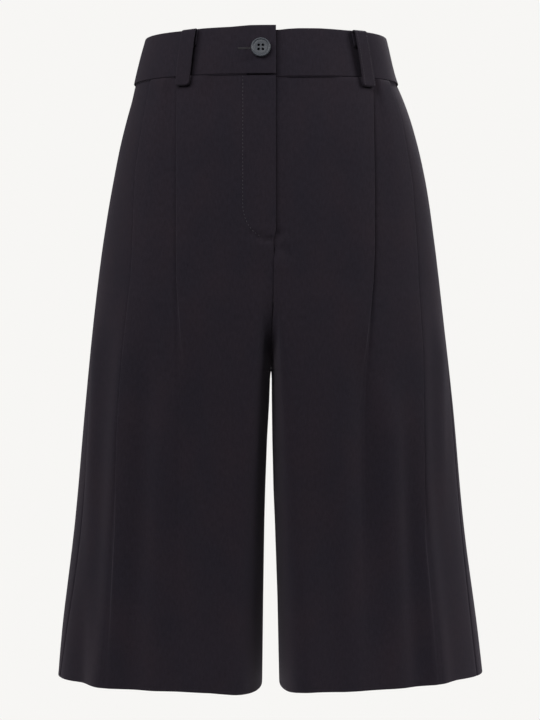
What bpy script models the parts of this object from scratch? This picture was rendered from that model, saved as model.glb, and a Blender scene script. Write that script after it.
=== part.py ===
"""Bermuda shorts in dark suiting, filled out and hollow, held at the waist.

Frame: the origin is the centre of the waist ring at mid-height of the waistband.
+Z is up, the front faces -Y, and the wearer's left is +X.
All sizes below are in millimetres; meshes are written in metres.
"""
import math

import bmesh
import bpy
import numpy as np
from mathutils import Matrix, Vector

MM = 0.001

# Driving sizes ---------------------------------------------------------------
CLOTH = 1.0              # wall of the suiting panels
BAND_WALL = 2.4          # waistband: shell, interfacing and inner half
SEAM_GAP = 0.3           # between neighbouring pieces
BAND_TOP = 22.0
BAND_BOTTOM = -22.0
BAND_LIFT = 1.0          # middle of the band wall, out from the panels' middle
HEM = -592.5
CROTCH = -295.0
INSEAM_Y = 6.0
FRONT_RISE_CURVE = 92.0  # height over which the front rise seam curves under
BACK_RISE_CURVE = 76.0
RISE_POWER = 2.7         # how late the rise turns under
HEM_LINE_START = -450.0  # below this the rows settle to the hem's own line
LEFT_END_DROP = 2.6      # the under end of the waist sits this much lower

# Half sections of the body. Distances are from x = 0 outward to that side.
BODY_COLUMNS = ("z", "side_right", "side_left", "front", "back", "widest",
                "seam_right", "seam_left", "front_power", "back_power")
BODY_ROWS = (
    (22, 117.3, 109.5, -90, 84, 0, 3, 3, 2.05, 2.15),
    (-22, 128.4, 121.0, -96, 92, 0, 3, 3, 2.05, 2.20),
    (-36, 131.6, 127.2, -97, 96, 2, 5, 5, 2.05, 2.20),
    (-55, 137.0, 134.3, -98.5, 101, 5, 8, 8, 2.08, 2.25),
    (-74, 142.0, 140.0, -100, 106, 7, 11, 10, 2.10, 2.25),
    (-112, 150.1, 149.0, -102, 114, 12, 14, 13, 2.10, 2.30),
    (-170, 160.2, 158.0, -104, 122, 17, 13, 12, 2.10, 2.30),
    (-247, 170.2, 167.4, -104, 122, 23, -2, 3, 2.10, 2.25),
    (-324, 178.2, 176.4, -102, 118, 28, -12, 1, 2.05, 2.20),
    (-441, 189.0, 187.4, -97, 116, 32, -11, 2, 2.00, 2.10),
    (-558, 202.6, 202.2, -93, 115, 33, 0, -5, 2.00, 2.10),
    (HEM, 205.4, 206.0, -92, 115, 32, 7, -5, 2.00, 2.10),
)

# Inner side of each leg: its outer face from x = 0, and the round shoulders where
# the front and back turn into the inner wall.
INNER_COLUMNS = ("z", "inner_right", "inner_left", "front_shoulder", "back_shoulder")
INNER_ROWS = (
    (22, -1.85, 2.15, 0, 0),
    (-175, -3.35, 3.65, 0, 0),
    (-203, -3.35, 3.65, 2, 0),
    (-230, -3.00, 3.30, 8, 8),
    (-265, -1.85, 2.15, 12, 20),
    (-295, -0.85, 1.15, 15, 30),
    (-303, -0.10, 1.60, 16, 32),
    (-325, 0.7, 1.7, 18, 35),
    (-362, 2.8, 2.2, 21, 40),
    (-410, 4.6, 3.3, 25, 43),
    (-440, 5.4, 4.6, 27, 45),
    (-478, 6.0, 5.9, 30, 47),
    (-516, 6.6, 7.2, 34, 49),
    (HEM, 7.5, 8.8, 38, 52),
)
SHOULDER_POWER = 2.5
CROTCH_POWER = 3.0       # how late the cloth turns in towards the rise seam
SEAM_TURN = 8.0          # depth from which the rise seam's edges lie side by side

# Height of the hem above HEM at distances from x = 0, uneven as worn.
HEM_LINE = {
    "right": ((18, -2.0), (32, -1.8), (55, -0.2), (98, 0.3), (139, 0.6), (180, 1.6), (206, 1.8)),
    "left": ((18, -1.2), (28, 0.0), (46, 0.6), (68, 0.4), (107, 2.0), (139, 2.9), (178, 5.2),
             (206, 4.6)),
}

# Free or seamed front edge of each front panel, from x = 0 outward to its side,
# and how far the left panel is tucked in behind the fly.
FLY_COLUMNS = ("z", "edge_right", "edge_left", "tuck")
FLY_ROWS = (
    (22, -5.5, -4.0, 1.6),
    (-166, -5.5, -4.0, 1.6),
    (-175, -3.35, -4.0, 1.6),
    (-184, -3.35, 3.65, 1.6),
    (-194, -3.35, 3.65, 0.0),
    (HEM, -3.35, 3.65, 0.0),
)
TUCK_START = 8.0
TUCK_END = 17.0

# Pleats: where the fold edge lies (from x = 0), how much cloth lies under it,
# how far the fold turns back in degrees, and how far it stands out.
PLEAT_COLUMNS = ("z", "fold", "under", "turn", "step")
INNER_PLEAT_RIGHT = (
    (-22, 85.0, 17, 180, 2.8),
    (-130, 85.2, 9, 180, 2.8),
    (-185, 85.2, 2, 180, 2.8),
    (-215, 85.0, 0, 120, 2.4),
    (-245, 84.4, 0, 55, 1.5),
    (-275, 83.6, 0, 20, 0.8),
    (-310, 83.0, 0, 6, 0.4),
    (HEM, 86.0, 0, 6, 0.4),
)
INNER_PLEAT_LEFT = (
    (-22, 94.2, 17, 180, 2.8),
    (-130, 95.6, 9, 180, 2.8),
    (-185, 95.4, 2, 180, 2.8),
    (-215, 94.2, 0, 120, 2.4),
    (-260, 91.2, 0, 55, 1.6),
    (-290, 89.4, 0, 20, 0.9),
    (-330, 87.8, 0, 6, 0.4),
    (HEM, 90.0, 0, 6, 0.4),
)
OUTER_PLEAT_RIGHT = (
    (-22, 109.6, 14, 180, 2.8),
    (-62, 117.0, 12, 180, 2.8),
    (-110, 124.2, 10, 180, 2.8),
    (-192, 127.0, 6, 180, 2.8),
    (-276, 132.6, 2, 180, 2.8),
    (-351, 137.3, 0, 110, 2.6),
    (-435, 141.0, 0, 60, 2.4),
    (-528, 147.6, 0, 35, 2.2),
    (HEM, 152.0, 0, 25, 1.8),
)
OUTER_PLEAT_LEFT = (
    (-22, 109.6, 14, 180, 2.8),
    (-58, 121.4, 12, 180, 2.8),
    (-119, 131.7, 10, 180, 2.8),
    (-192, 136.6, 7, 180, 2.8),
    (-276, 138.2, 4, 180, 2.8),
    (-351, 138.4, 2, 180, 2.8),
    (-400, 139.4, 0, 110, 2.6),
    (-454, 142.9, 0, 50, 2.4),
    (-528, 150.6, 0, 35, 2.2),
    (HEM, 156.6, 0, 25, 1.8),
)
TURN_POINTS = 4          # segments round each turn of a pleat
GUIDE = 52.0             # line from which the columns run to the first pleat

# Rows of the panels, top to bottom.
YOKE_HEIGHTS = (-22.7, -40, -62, -90, -120, -145, -166, -175, -184, -194)
RISE_STEPS = 7
LEG_HEIGHTS = (-303, -325, -362, -410, -465, -525, HEM)

# Belt loops: side, front or back, distance from x = 0 at their top and at their bottom.
LOOPS = (
    ("belt_loop_front_right", "right", "front", 71.5, 78.5),
    ("belt_loop_front_left", "left", "front", 79.3, 88.8),
    ("belt_loop_back_right", "right", "back", 70.0, 77.0),
    ("belt_loop_back_left", "left", "back", 66.0, 75.0),
    ("belt_loop_centre_back", "right", "back", 0.0, 0.0),
)
LOOP_WIDTH = 15.0
LOOP_WALL = 1.4
LOOP_TACK_END = 6.0      # lower end of the layer that lies on the band
LOOP_INNER = 3.2         # middle of that layer, out from the panels' middle
LOOP_OUTER_TOP = 7.6
LOOP_OUTER_LOW = 6.5
LOOP_TURNED_END = 4.8    # middle of the turned-under bottom end
LOOP_BOTTOM = -31.0

# Fly closing.
BAND_FRONT_END = -5.5    # right end of the band passes the centre by this much
BAND_UNDER_END = -22.0   # left end reaches this far behind it
BAND_TUCK = 3.0
BUTTON_X = -8.3
BUTTON_Z = 2.0
BUTTON_RADIUS = 9.0
BUTTON_THICK = 3.0
BUTTON_RIM = 1.7
BUTTON_DISH = 0.7
BUTTON_HOLE_RADIUS = 1.0
BUTTON_HOLE_SPACING = 3.6
ZIP_EDGES = (-6.0, 14.0)
ZIP_OFFSET = -3.4
ZIP_HEIGHTS = (-26.0, -60.0, -100.0, -135.0, -164.0)
CHAIN_WIDTH = 5.0
CHAIN_DEPTH = 1.2
SLIDER_SIZE = (7.0, 1.8, 9.5)
SLIDER_Z = -33.0

SUITING = (0.020, 0.0165, 0.0195, 1.0)
BUTTON_GREY = (0.055, 0.060, 0.072, 1.0)
ZIP_TAPE = (0.012, 0.012, 0.014, 1.0)
ZIP_METAL = (0.10, 0.10, 0.11, 1.0)


# Tables ----------------------------------------------------------------------
def smooth_table(names, rows):
    """Return a function from height to the table's values, curved between rows."""
    data = np.array(sorted(rows), dtype=float)
    heights = data[:, 0]
    slopes = np.gradient(data, heights, axis=0)

    def lookup(z):
        z = min(max(z, heights[0]), heights[-1])
        k = int(np.clip(np.searchsorted(heights, z) - 1, 0, len(heights) - 2))
        span = heights[k + 1] - heights[k]
        t = (z - heights[k]) / span
        near = (1 + 2 * t) * (1 - t) ** 2 * data[k] + t * (1 - t) ** 2 * span * slopes[k]
        far = t * t * (3 - 2 * t) * data[k + 1] + t * t * (t - 1) * span * slopes[k + 1]
        return dict(zip(names, near + far))

    return lookup


def straight_table(names, rows):
    """Return a function from height to the table's values, straight between rows."""
    data = np.array(sorted(rows), dtype=float)

    def lookup(z):
        return {name: float(np.interp(z, data[:, 0], data[:, k])) for k, name in enumerate(names)}

    return lookup


body_at = smooth_table(BODY_COLUMNS, BODY_ROWS)
inner_at = straight_table(INNER_COLUMNS, INNER_ROWS)
fly_at = straight_table(FLY_COLUMNS, FLY_ROWS)
PLEATS = {
    "right": (straight_table(PLEAT_COLUMNS, INNER_PLEAT_RIGHT),
              straight_table(PLEAT_COLUMNS, OUTER_PLEAT_RIGHT)),
    "left": (straight_table(PLEAT_COLUMNS, INNER_PLEAT_LEFT),
             straight_table(PLEAT_COLUMNS, OUTER_PLEAT_LEFT)),
}


def ease(value):
    """Smooth step from 0 to 1."""
    value = min(max(value, 0.0), 1.0)
    return value * value * (3 - 2 * value)


# Body sections ---------------------------------------------------------------
def rise_depth(z, surface_y, curve_height):
    """Depth of the rise seam behind the surface at this height."""
    full = INSEAM_Y - surface_y
    if z <= CROTCH:
        return full
    if z >= CROTCH + curve_height:
        return 0.0
    share = 1.0 - (z - CROTCH) / curve_height
    return full * (1.0 - (1.0 - share ** RISE_POWER) ** (1 / RISE_POWER))


def inner_quarter(inner, shoulder, surface_y, depth):
    """Points from the inner edge of a leg round its shoulder to the front or back face."""
    angles = np.linspace(math.pi / 2, 0.0, 25)
    across = np.sin(angles) ** (2 / SHOULDER_POWER)
    back = 1.0 - np.maximum(np.cos(angles), 0.0) ** (2 / SHOULDER_POWER)
    whole = shoulder - (shoulder - inner) * across
    share = depth / (INSEAM_Y - surface_y)
    x = np.interp(back * share, back[::-1], whole[::-1])
    x = np.maximum(x - (x[0] - inner) * back ** CROTCH_POWER, inner)
    return [(float(a), surface_y + depth * float(b)) for a, b in zip(x, back)]


def outer_quarter(shoulder, side, surface_y, widest_y, power):
    """Points from the middle of the front or back face to the widest point."""
    points = []
    for angle in np.linspace(0.0, math.pi / 2, 61):
        across = math.sin(angle) ** (2 / power)
        along = max(math.cos(angle), 0.0) ** (2 / power)
        x = shoulder + (side - shoulder) * across
        points.append((x, widest_y - (widest_y - surface_y) * along))
    return points


class Section:
    """Half of the body's horizontal section at one height, front edge to back edge."""

    def __init__(self, side, z):
        body = body_at(z)
        inner = inner_at(z)
        self.sign = -1.0 if side == "right" else 1.0
        self.z = z
        front_depth = rise_depth(z, body["front"], FRONT_RISE_CURVE)
        back_depth = rise_depth(z, body["back"], BACK_RISE_CURVE)
        reach = body["side_" + side]
        face = inner["inner_" + side]
        front_inner = face + CLOTH / 2 * ease(abs(front_depth) / SEAM_TURN)
        back_inner = face + CLOTH / 2 * ease(abs(back_depth) / SEAM_TURN)
        front_shoulder = max(inner["front_shoulder"], front_inner + 0.05)
        back_shoulder = max(inner["back_shoulder"], back_inner + 0.05)
        past = []
        if front_depth == 0.0:
            run = reach - front_shoulder
            for x in np.linspace(-30.0, front_inner - 1.0, 16):
                share = min(abs(x - front_shoulder) / run, 1.0) ** body["front_power"]
                along = (1.0 - share) ** (1 / body["front_power"])
                past.append((x, body["widest"] - (body["widest"] - body["front"]) * along))
        front = inner_quarter(front_inner, front_shoulder, body["front"], front_depth)
        quarter = outer_quarter(front_shoulder, reach, body["front"], body["widest"],
                                body["front_power"])
        rear = outer_quarter(back_shoulder, reach, body["back"], body["widest"],
                             body["back_power"])[::-1]
        back = inner_quarter(back_inner, back_shoulder, body["back"], back_depth)[::-1]
        points = np.array(past + front + quarter[1:] + rear[1:] + back[1:])
        steps = np.hypot(*np.diff(points, axis=0).T)
        length = np.concatenate([[0.0], np.cumsum(steps)])
        self.points = points
        self.length = length - length[len(past)]
        self.face_start = len(past) + len(front) - 1
        self.widest = self.face_start + len(quarter) - 1
        self.back_end = self.widest + len(rear) - 1
        self.front_face = slice(self.face_start, self.widest + 1)
        self.back_face = slice(self.widest, self.back_end + 1)
        self.seam_y = body["seam_" + side]
        self.reach = reach

    def at_front_x(self, x):
        """Length along the section where the front has this distance from the centre."""
        first = 0 if x < self.points[self.face_start, 0] else self.face_start
        last = self.widest + 1
        return float(np.interp(x, self.points[first:last, 0], self.length[first:last]))

    def at_back_x(self, x):
        """The same on the back."""
        xs = self.points[self.widest:, 0][::-1]
        return float(np.interp(x, xs, self.length[self.widest:][::-1]))

    def at_seam(self):
        """Length at the side seam."""
        if self.seam_y <= self.points[self.widest, 1]:
            part = self.front_face
        else:
            part = self.back_face
        return float(np.interp(self.seam_y, self.points[part, 1], self.length[part]))

    def place(self, along, out=0.0, z=None):
        """Point in millimetres at a length along the section, moved outward."""
        here = np.array([np.interp(along, self.length, self.points[:, k]) for k in (0, 1)])
        ahead = np.array([np.interp(along + 0.8, self.length, self.points[:, k]) for k in (0, 1)])
        behind = np.array([np.interp(along - 0.8, self.length, self.points[:, k]) for k in (0, 1)])
        run = ahead - behind
        run /= max(np.hypot(*run), 1e-9)
        x, y = here + out * np.array([run[1], -run[0]])
        return Vector((self.sign * x, y, self.z if z is None else z))


def end_drop(point):
    """How much lower the left front of the waist sits at this point."""
    if point.y > 0.0:
        return 0.0
    return LEFT_END_DROP * (1.0 - ease(point.x / 110.0))


def finish_height(point, side):
    """Bring the lowest rows to the hem's line and lower the left end of the waist."""
    if point.z < HEM_LINE_START:
        share = ease((HEM_LINE_START - point.z) / (HEM_LINE_START - HEM))
        distances, heights = zip(*HEM_LINE[side])
        point.z += share * float(np.interp(abs(point.x), distances, heights))
    if side == "left" and point.z > -60.0:
        point.z -= end_drop(point) * ease((point.z + 60.0) / 38.0)
    return point


# Panels ----------------------------------------------------------------------
def pleat_path(under, turn_degrees, step):
    """Fold from its top layer to the cloth under it, as (along, out) from its start."""
    turn = math.radians(turn_degrees)
    radius = step * (1.0 - 0.3 * math.sin(turn)) / (4.0 * math.sin(turn / 2) ** 2)
    straight = under + 0.3 * step * math.sin(turn / 2) ** 0.5
    if turn_degrees < 179.0:
        straight = max(step - 2 * radius * (1 - math.cos(turn)), 0.0) / math.sin(turn) + under
    path = []
    for k in range(TURN_POINTS + 1):
        angle = turn * k / TURN_POINTS
        path.append((radius * math.sin(angle), step - radius * (1 - math.cos(angle))))
    along, out = path[-1]
    along += straight * math.cos(turn)
    out -= straight * math.sin(turn)
    for k in range(TURN_POINTS + 1):
        angle = turn * (1 - k / TURN_POINTS)
        path.append((along + radius * (math.sin(turn) - math.sin(angle)),
                     out - radius * (math.cos(angle) - math.cos(turn))))
    return path


def panel_heights():
    """Heights of the panel rows from the waist seam to the hem."""
    rise = []
    for k in range(RISE_STEPS, -1, -1):
        angle = math.pi / 2 * k / RISE_STEPS
        rise.append(CROTCH + FRONT_RISE_CURVE * (1.0 - math.cos(angle)))
    return list(YOKE_HEIGHTS) + rise + list(LEG_HEIGHTS)


def spread(start, end, count):
    """Evenly spaced values after start, up to and with end."""
    return [start + (end - start) * (k + 1) / count for k in range(count)]


def front_row(side, z):
    """One row of a front panel, centre edge to side seam."""
    section = Section(side, z)
    fly = fly_at(z)
    inner_pleat = PLEATS[side][0](z)
    outer_pleat = PLEATS[side][1](z)
    if z > CROTCH + FRONT_RISE_CURVE:
        edge = section.at_front_x(fly["edge_" + side])
    elif z > CROTCH:
        edge = 0.0
    else:
        edge = SEAM_GAP / 2
    guide = section.at_front_x(GUIDE)
    places = [(edge, 0.0)]
    places += [(along, 0.0) for along in spread(edge, guide, 9)]
    previous = guide
    for pleat in (inner_pleat, outer_pleat):
        path = pleat_path(pleat["under"], pleat["turn"], pleat["step"])
        reach = max(along for along, out in path)
        start = section.at_front_x(pleat["fold"]) - reach
        covered = start - pleat["under"] - 4.0
        room = max(covered - previous, 3.0)
        for along in spread(previous, start, 5)[:-1]:
            rise = ease((along - previous) / room)
            places.append((along, pleat["step"] * rise))
        places += [(start + along, out) for along, out in path]
        fold_end = section.at_front_x(pleat["fold"])
        under_end = start + path[-1][0]
        previous = max(fold_end + 1.5, under_end + 2.0)
        places.append((previous, 0.0))
    seam = section.at_seam() - SEAM_GAP / 2
    places += [(along, 0.0) for along in spread(previous, seam, 4)]
    row = []
    for along, out in places:
        if side == "left" and fly["tuck"] > 0.0:
            x = section.sign * section.place(along).x
            out -= fly["tuck"] * (1.0 - ease((x - TUCK_START) / (TUCK_END - TUCK_START)))
        row.append(finish_height(section.place(along, out), side))
    return row


def back_row(side, z):
    """One row of a back panel, side seam to centre edge or inseam."""
    section = Section(side, z)
    start = section.at_seam() + SEAM_GAP / 2
    end = float(section.length[-1])
    if z <= CROTCH:
        end -= SEAM_GAP / 2
    guide = section.at_back_x(GUIDE)
    places = [start] + spread(start, guide, 9) + spread(guide, end, 8)
    return [finish_height(section.place(along), side) for along in places]


def sheet_object(name, rows, wall, material, collection):
    """Closed wall of cloth round a grid of points, given row by row."""
    count = len(rows[0])
    vertices = [tuple(point * MM) for row in rows for point in row]
    faces = []
    for r in range(len(rows) - 1):
        for c in range(count - 1):
            here = r * count + c
            faces.append((here, here + count, here + count + 1, here + 1))
    mesh = bpy.data.meshes.new(name)
    mesh.from_pydata(vertices, [], faces)
    mesh.validate()
    mesh.materials.append(material)
    mesh.shade_smooth()
    piece = bpy.data.objects.new(name, mesh)
    collection.objects.link(piece)
    solid = piece.modifiers.new("wall", "SOLIDIFY")
    solid.thickness = wall * MM
    solid.offset = 0.0
    solid.use_even_offset = True
    return piece


def outward(piece, centre_x):
    """Turn the sheet's faces so that they look away from the leg's middle line."""
    mesh = piece.data
    score = 0.0
    for face in mesh.polygons:
        away = Vector((face.center.x - centre_x * MM, face.center.y, 0.0))
        score += face.normal.dot(away) * face.area
    if score < 0:
        mesh.flip_normals()


def build_panels(collection, materials):
    """Two pleated fronts and two backs."""
    for side in ("right", "left"):
        centre = -90.0 if side == "right" else 90.0
        for part, row_function in (("front", front_row), ("back", back_row)):
            rows = [row_function(side, z) for z in panel_heights()]
            piece = sheet_object(part + "_" + side, rows, CLOTH, materials["suiting"], collection)
            outward(piece, centre)


# Waistband -------------------------------------------------------------------
def band_row(side, z):
    """One row of the waistband half, front end to centre back."""
    section = Section(side, z)
    end_x = BAND_FRONT_END if side == "right" else BAND_UNDER_END
    start = section.at_front_x(end_x)
    end = float(section.length[-1])
    tuck_places = spread(start, section.at_front_x(24.0), 8)
    places = [start] + tuck_places + spread(tuck_places[-1], end, 26)
    row = []
    for along in places:
        out = BAND_LIFT
        if side == "left":
            x = section.sign * section.place(along).x
            out -= BAND_TUCK * (1.0 - ease((x - TUCK_START) / (TUCK_END - TUCK_START)))
        point = section.place(along, out)
        if side == "left":
            point.z -= end_drop(point)
        row.append(point)
    return row


def build_waistband(collection, materials):
    """Two halves that meet at the centre back and overlap at the front."""
    heights = (BAND_TOP, 8.0, -8.0, BAND_BOTTOM)
    for side in ("right", "left"):
        rows = [band_row(side, z) for z in heights]
        piece = sheet_object("waistband_" + side, rows, BAND_WALL, materials["suiting"], collection)
        outward(piece, 0.0)


def loop_profile():
    """Middle line of a belt loop, from its tack up over the band and down, as (out, z)."""
    profile = [(LOOP_INNER, LOOP_TACK_END), (LOOP_INNER, 13.0)]
    radius = (LOOP_OUTER_TOP - LOOP_INNER) / 2
    centre_z = BAND_TOP - LOOP_WALL / 2 - radius
    for k in range(7):
        angle = math.pi * (1 - k / 6)
        profile.append((LOOP_INNER + radius + radius * math.cos(angle),
                        centre_z + radius * math.sin(angle)))
    profile += [(LOOP_OUTER_TOP, 8.0), (7.3, -8.0), (LOOP_OUTER_LOW, -21.0)]
    turn = (LOOP_OUTER_LOW - LOOP_TURNED_END) / 2
    for k in range(5):
        angle = math.pi * k / 4
        profile.append((LOOP_TURNED_END + turn + turn * math.cos(angle),
                        LOOP_BOTTOM + turn - turn * math.sin(angle)))
    profile.append((LOOP_TURNED_END, -22.0))
    return profile


def build_loops(collection, materials):
    """Five belt loops, folded over at the top edge and turned under below the band."""
    for name, side, face, top, low in LOOPS:
        rows = []
        for out, z in loop_profile():
            section = Section(side, z)
            place = float(np.interp(z, (LOOP_BOTTOM, BAND_TOP), (low, top)))
            if face == "front":
                along = section.at_front_x(place)
            else:
                along = section.at_back_x(max(place, section.points[-1, 0]))
            middle = section.place(along, out)
            ahead = section.place(along + 1.0, out)
            behind = section.place(along - 1.0, out)
            if top == 0.0:
                across = Vector((1.0, 0.0, 0.0))
            else:
                across = (ahead - behind).normalized()
            half = LOOP_WIDTH / 2
            row = [finish_height(middle + across * half * k, side) for k in (-1, 0, 1)]
            rows.append(row)
        sheet_object(name, rows, LOOP_WALL, materials["suiting"], collection)


# Button and zip --------------------------------------------------------------
def band_frame(x, z, out):
    """Matrix of a place on the right band: local -Y is outward, local Z is up the band."""
    section = Section("right", z)
    above = Section("right", z + 6.0)
    below = Section("right", z - 6.0)
    along = section.at_front_x(-x)
    base = section.place(along, out)
    right = (section.place(along - 3.0, out) - section.place(along + 3.0, out)).normalized()
    up = above.place(above.at_front_x(-x), out) - below.place(below.at_front_x(-x), out)
    up = (up - right * up.dot(right)).normalized()
    inward = up.cross(right)
    matrix = Matrix((right, inward, up)).transposed().to_4x4()
    matrix.translation = base * MM
    return matrix


def build_button(collection, materials):
    """Round button with a raised rim, a dished middle and four holes."""
    r = BUTTON_RADIUS
    t = BUTTON_THICK
    profile = [(0.0, 0.0), (r - 1.2, 0.0), (r - 0.35, 0.35), (r, 1.0), (r, t - 0.7),
               (r - 0.25, t - 0.2), (r - 0.75, t), (r - BUTTON_RIM + 0.35, t),
               (r - BUTTON_RIM, t - 0.2), (r - BUTTON_RIM - 0.6, t - BUTTON_DISH),
               (r - BUTTON_RIM - 2.4, t - BUTTON_DISH - 0.1), (0.0, t - BUTTON_DISH - 0.1)]
    body = bmesh.new()
    ring = [body.verts.new((x * MM, -y * MM, 0.0)) for x, y in profile]
    edges = [body.edges.new((ring[k], ring[k + 1])) for k in range(len(ring) - 1)]
    bmesh.ops.spin(body, geom=ring + edges, cent=(0, 0, 0), axis=(0, 1, 0),
                   angle=math.tau, steps=32)
    bmesh.ops.remove_doubles(body, verts=body.verts, dist=1e-6)
    bmesh.ops.recalc_face_normals(body, faces=body.faces)
    mesh = bpy.data.meshes.new("button")
    body.to_mesh(mesh)
    body.free()
    mesh.materials.append(materials["button"])
    button = bpy.data.objects.new("button", mesh)
    collection.objects.link(button)
    button.matrix_world = band_frame(BUTTON_X, BUTTON_Z, BAND_LIFT + BAND_WALL / 2 + 0.35)
    mesh.shade_smooth()
    mesh.set_sharp_from_angle(angle=math.radians(40))

    cutters = bpy.data.collections.new("cutters")
    bpy.context.scene.collection.children.link(cutters)
    drill = bmesh.new()
    half = BUTTON_HOLE_SPACING / 2
    for x in (-half, half):
        for z in (-half, half):
            place = Matrix.Translation((x * MM, -t / 2 * MM, z * MM))
            turn = Matrix.Rotation(math.pi / 2, 4, "X")
            bmesh.ops.create_cone(drill, cap_ends=True, segments=12, depth=3 * t * MM,
                                  radius1=BUTTON_HOLE_RADIUS * MM,
                                  radius2=BUTTON_HOLE_RADIUS * MM, matrix=place @ turn)
    cutter_mesh = bpy.data.meshes.new("button_holes")
    drill.to_mesh(cutter_mesh)
    drill.free()
    cutter = bpy.data.objects.new("button_holes", cutter_mesh)
    cutter.matrix_world = button.matrix_world
    cutter.hide_render = True
    cutter.display_type = "WIRE"
    cutters.objects.link(cutter)
    cut = button.modifiers.new("holes", "BOOLEAN")
    cut.object = cutter
    cut.operation = "DIFFERENCE"


def build_zip(collection, materials):
    """Closed zip behind the fly: tape with its coil, and the slider at the top."""
    middle = sum(ZIP_EDGES) / 2
    rows = []
    for z in ZIP_HEIGHTS:
        section = Section("right", z)
        xs = (ZIP_EDGES[0], middle - 4.5, middle, middle + 4.5, ZIP_EDGES[1])
        rows.append([section.place(section.at_front_x(x), ZIP_OFFSET) for x in xs])
    tape = sheet_object("zip_tape", rows, CLOTH, materials["tape"], collection)
    outward(tape, 0.0)
    coil_offset = ZIP_OFFSET - CLOTH / 2 - 0.3 - CHAIN_DEPTH / 2
    rows = []
    for z in ZIP_HEIGHTS[1:]:
        section = Section("right", z)
        xs = (middle - CHAIN_WIDTH / 2, middle, middle + CHAIN_WIDTH / 2)
        rows.append([section.place(section.at_front_x(x), coil_offset) for x in xs])
    coil = sheet_object("zip_coil", rows, CHAIN_DEPTH, materials["tape"], collection)
    outward(coil, 0.0)
    slider_mesh = bpy.data.meshes.new("zip_slider")
    block = bmesh.new()
    bmesh.ops.create_cube(block, size=1.0)
    bmesh.ops.scale(block, vec=Vector(SLIDER_SIZE) * MM, verts=block.verts)
    block.to_mesh(slider_mesh)
    block.free()
    slider_mesh.materials.append(materials["metal"])
    slider = bpy.data.objects.new("zip_slider", slider_mesh)
    collection.objects.link(slider)
    out = ZIP_OFFSET - CLOTH / 2 - 0.4 - SLIDER_SIZE[1] / 2
    slider.matrix_world = band_frame(-middle, SLIDER_Z, out)
    bevel = slider.modifiers.new("edges", "BEVEL")
    bevel.width = 0.6 * MM
    bevel.segments = 2


# Scene -----------------------------------------------------------------------
def principled(name, colour, roughness, metallic=0.0):
    """Material with one Principled BSDF."""
    material = bpy.data.materials.new(name)
    material.use_nodes = True
    shader = material.node_tree.nodes["Principled BSDF"]
    shader.inputs["Base Color"].default_value = colour
    shader.inputs["Roughness"].default_value = roughness
    shader.inputs["Metallic"].default_value = metallic
    material.diffuse_color = colour
    return material


def main():
    for item in list(bpy.data.objects):
        bpy.data.objects.remove(item, do_unlink=True)
    collection = bpy.data.collections.new("bermuda_shorts")
    bpy.context.scene.collection.children.link(collection)
    materials = {
        "suiting": principled("suiting", SUITING, 0.85),
        "button": principled("button_plastic", BUTTON_GREY, 0.35),
        "tape": principled("zip_tape", ZIP_TAPE, 0.80),
        "metal": principled("zip_metal", ZIP_METAL, 0.35, 1.0),
    }
    build_panels(collection, materials)
    build_waistband(collection, materials)
    build_loops(collection, materials)
    build_button(collection, materials)
    build_zip(collection, materials)


main()
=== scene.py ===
import math

import bmesh
import bpy
import numpy as np
from bpy.props import FloatProperty, FloatVectorProperty, PointerProperty
from mathutils import Matrix, Vector


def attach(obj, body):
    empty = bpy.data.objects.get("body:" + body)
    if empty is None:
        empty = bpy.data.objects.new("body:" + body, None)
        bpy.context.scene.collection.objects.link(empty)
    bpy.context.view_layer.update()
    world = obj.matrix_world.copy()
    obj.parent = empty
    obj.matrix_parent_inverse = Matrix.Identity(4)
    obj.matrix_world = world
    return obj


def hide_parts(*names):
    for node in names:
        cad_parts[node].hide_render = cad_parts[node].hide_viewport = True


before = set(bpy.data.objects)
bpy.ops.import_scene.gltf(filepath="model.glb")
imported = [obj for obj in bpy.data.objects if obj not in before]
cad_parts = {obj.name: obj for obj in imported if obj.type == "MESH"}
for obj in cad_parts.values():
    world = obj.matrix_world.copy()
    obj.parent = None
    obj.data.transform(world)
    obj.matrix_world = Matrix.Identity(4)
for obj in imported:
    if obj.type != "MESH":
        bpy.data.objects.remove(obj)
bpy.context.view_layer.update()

bl_info = {
    "name": "Bermuda shorts",
    "version": (1, 0, 0),
    "blender": (4, 5, 0),
    "location": "3D View > Sidebar > Shorts",
    "description": "Pleated suiting bermuda shorts, filled out and held at the waist",
    "category": "Add Mesh",
}

MM = 0.001

# Shape of the body: the same sizes as the solids, in millimetres -------------
BAND_TOP = 22.0
BAND_BOTTOM = -22.0
HEM = -592.5
CROTCH = -295.0
INSEAM_Y = 6.0
RISE_CURVE = {"front": 92.0, "back": 76.0}   # height of the rise's curve above the crotch
RISE_POWER = 2.7
SEAM_GAP = 0.3            # between the solids
SEAM_CLEAR = 0.08         # between the sewn edges of the cloth
CLOTH = 0.8
SEAM_EASE = 6.0           # depth of the rise's seam in which its two edges draw apart
ROLL_EASE = 8.0           # depth of it in which its roll fades
SHIFT_EASE = 8.0          # height above the crotch in which the back seam shifts

# Top line of the waistband's front, raised as listed: (x, height).
TOP_LINE = {"right": ((-116, -0.6), (-82, -0.9), (-62, 0.0), (-36, 0.3), (-18, 1.5), (6, 1.6)),
            "left": ((8, 0.0), (26, 1.0), (46, 1.0), (70, 0.0), (110, 0.0))}
TOP_LINE_START = 6.0      # height on the band from which its top line is raised
TOP_LINE_SPAN = 16.0
LEFT_END_DROP = 2.6       # how much lower the left front end of the waist sits
DROP_REACH = 110.0        # distance from x = 0 in which that fades
DROP_START = -60.0        # height on the panel from which it drops
DROP_SPAN = 38.0
HEM_LINE_START = -450.0

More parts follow.
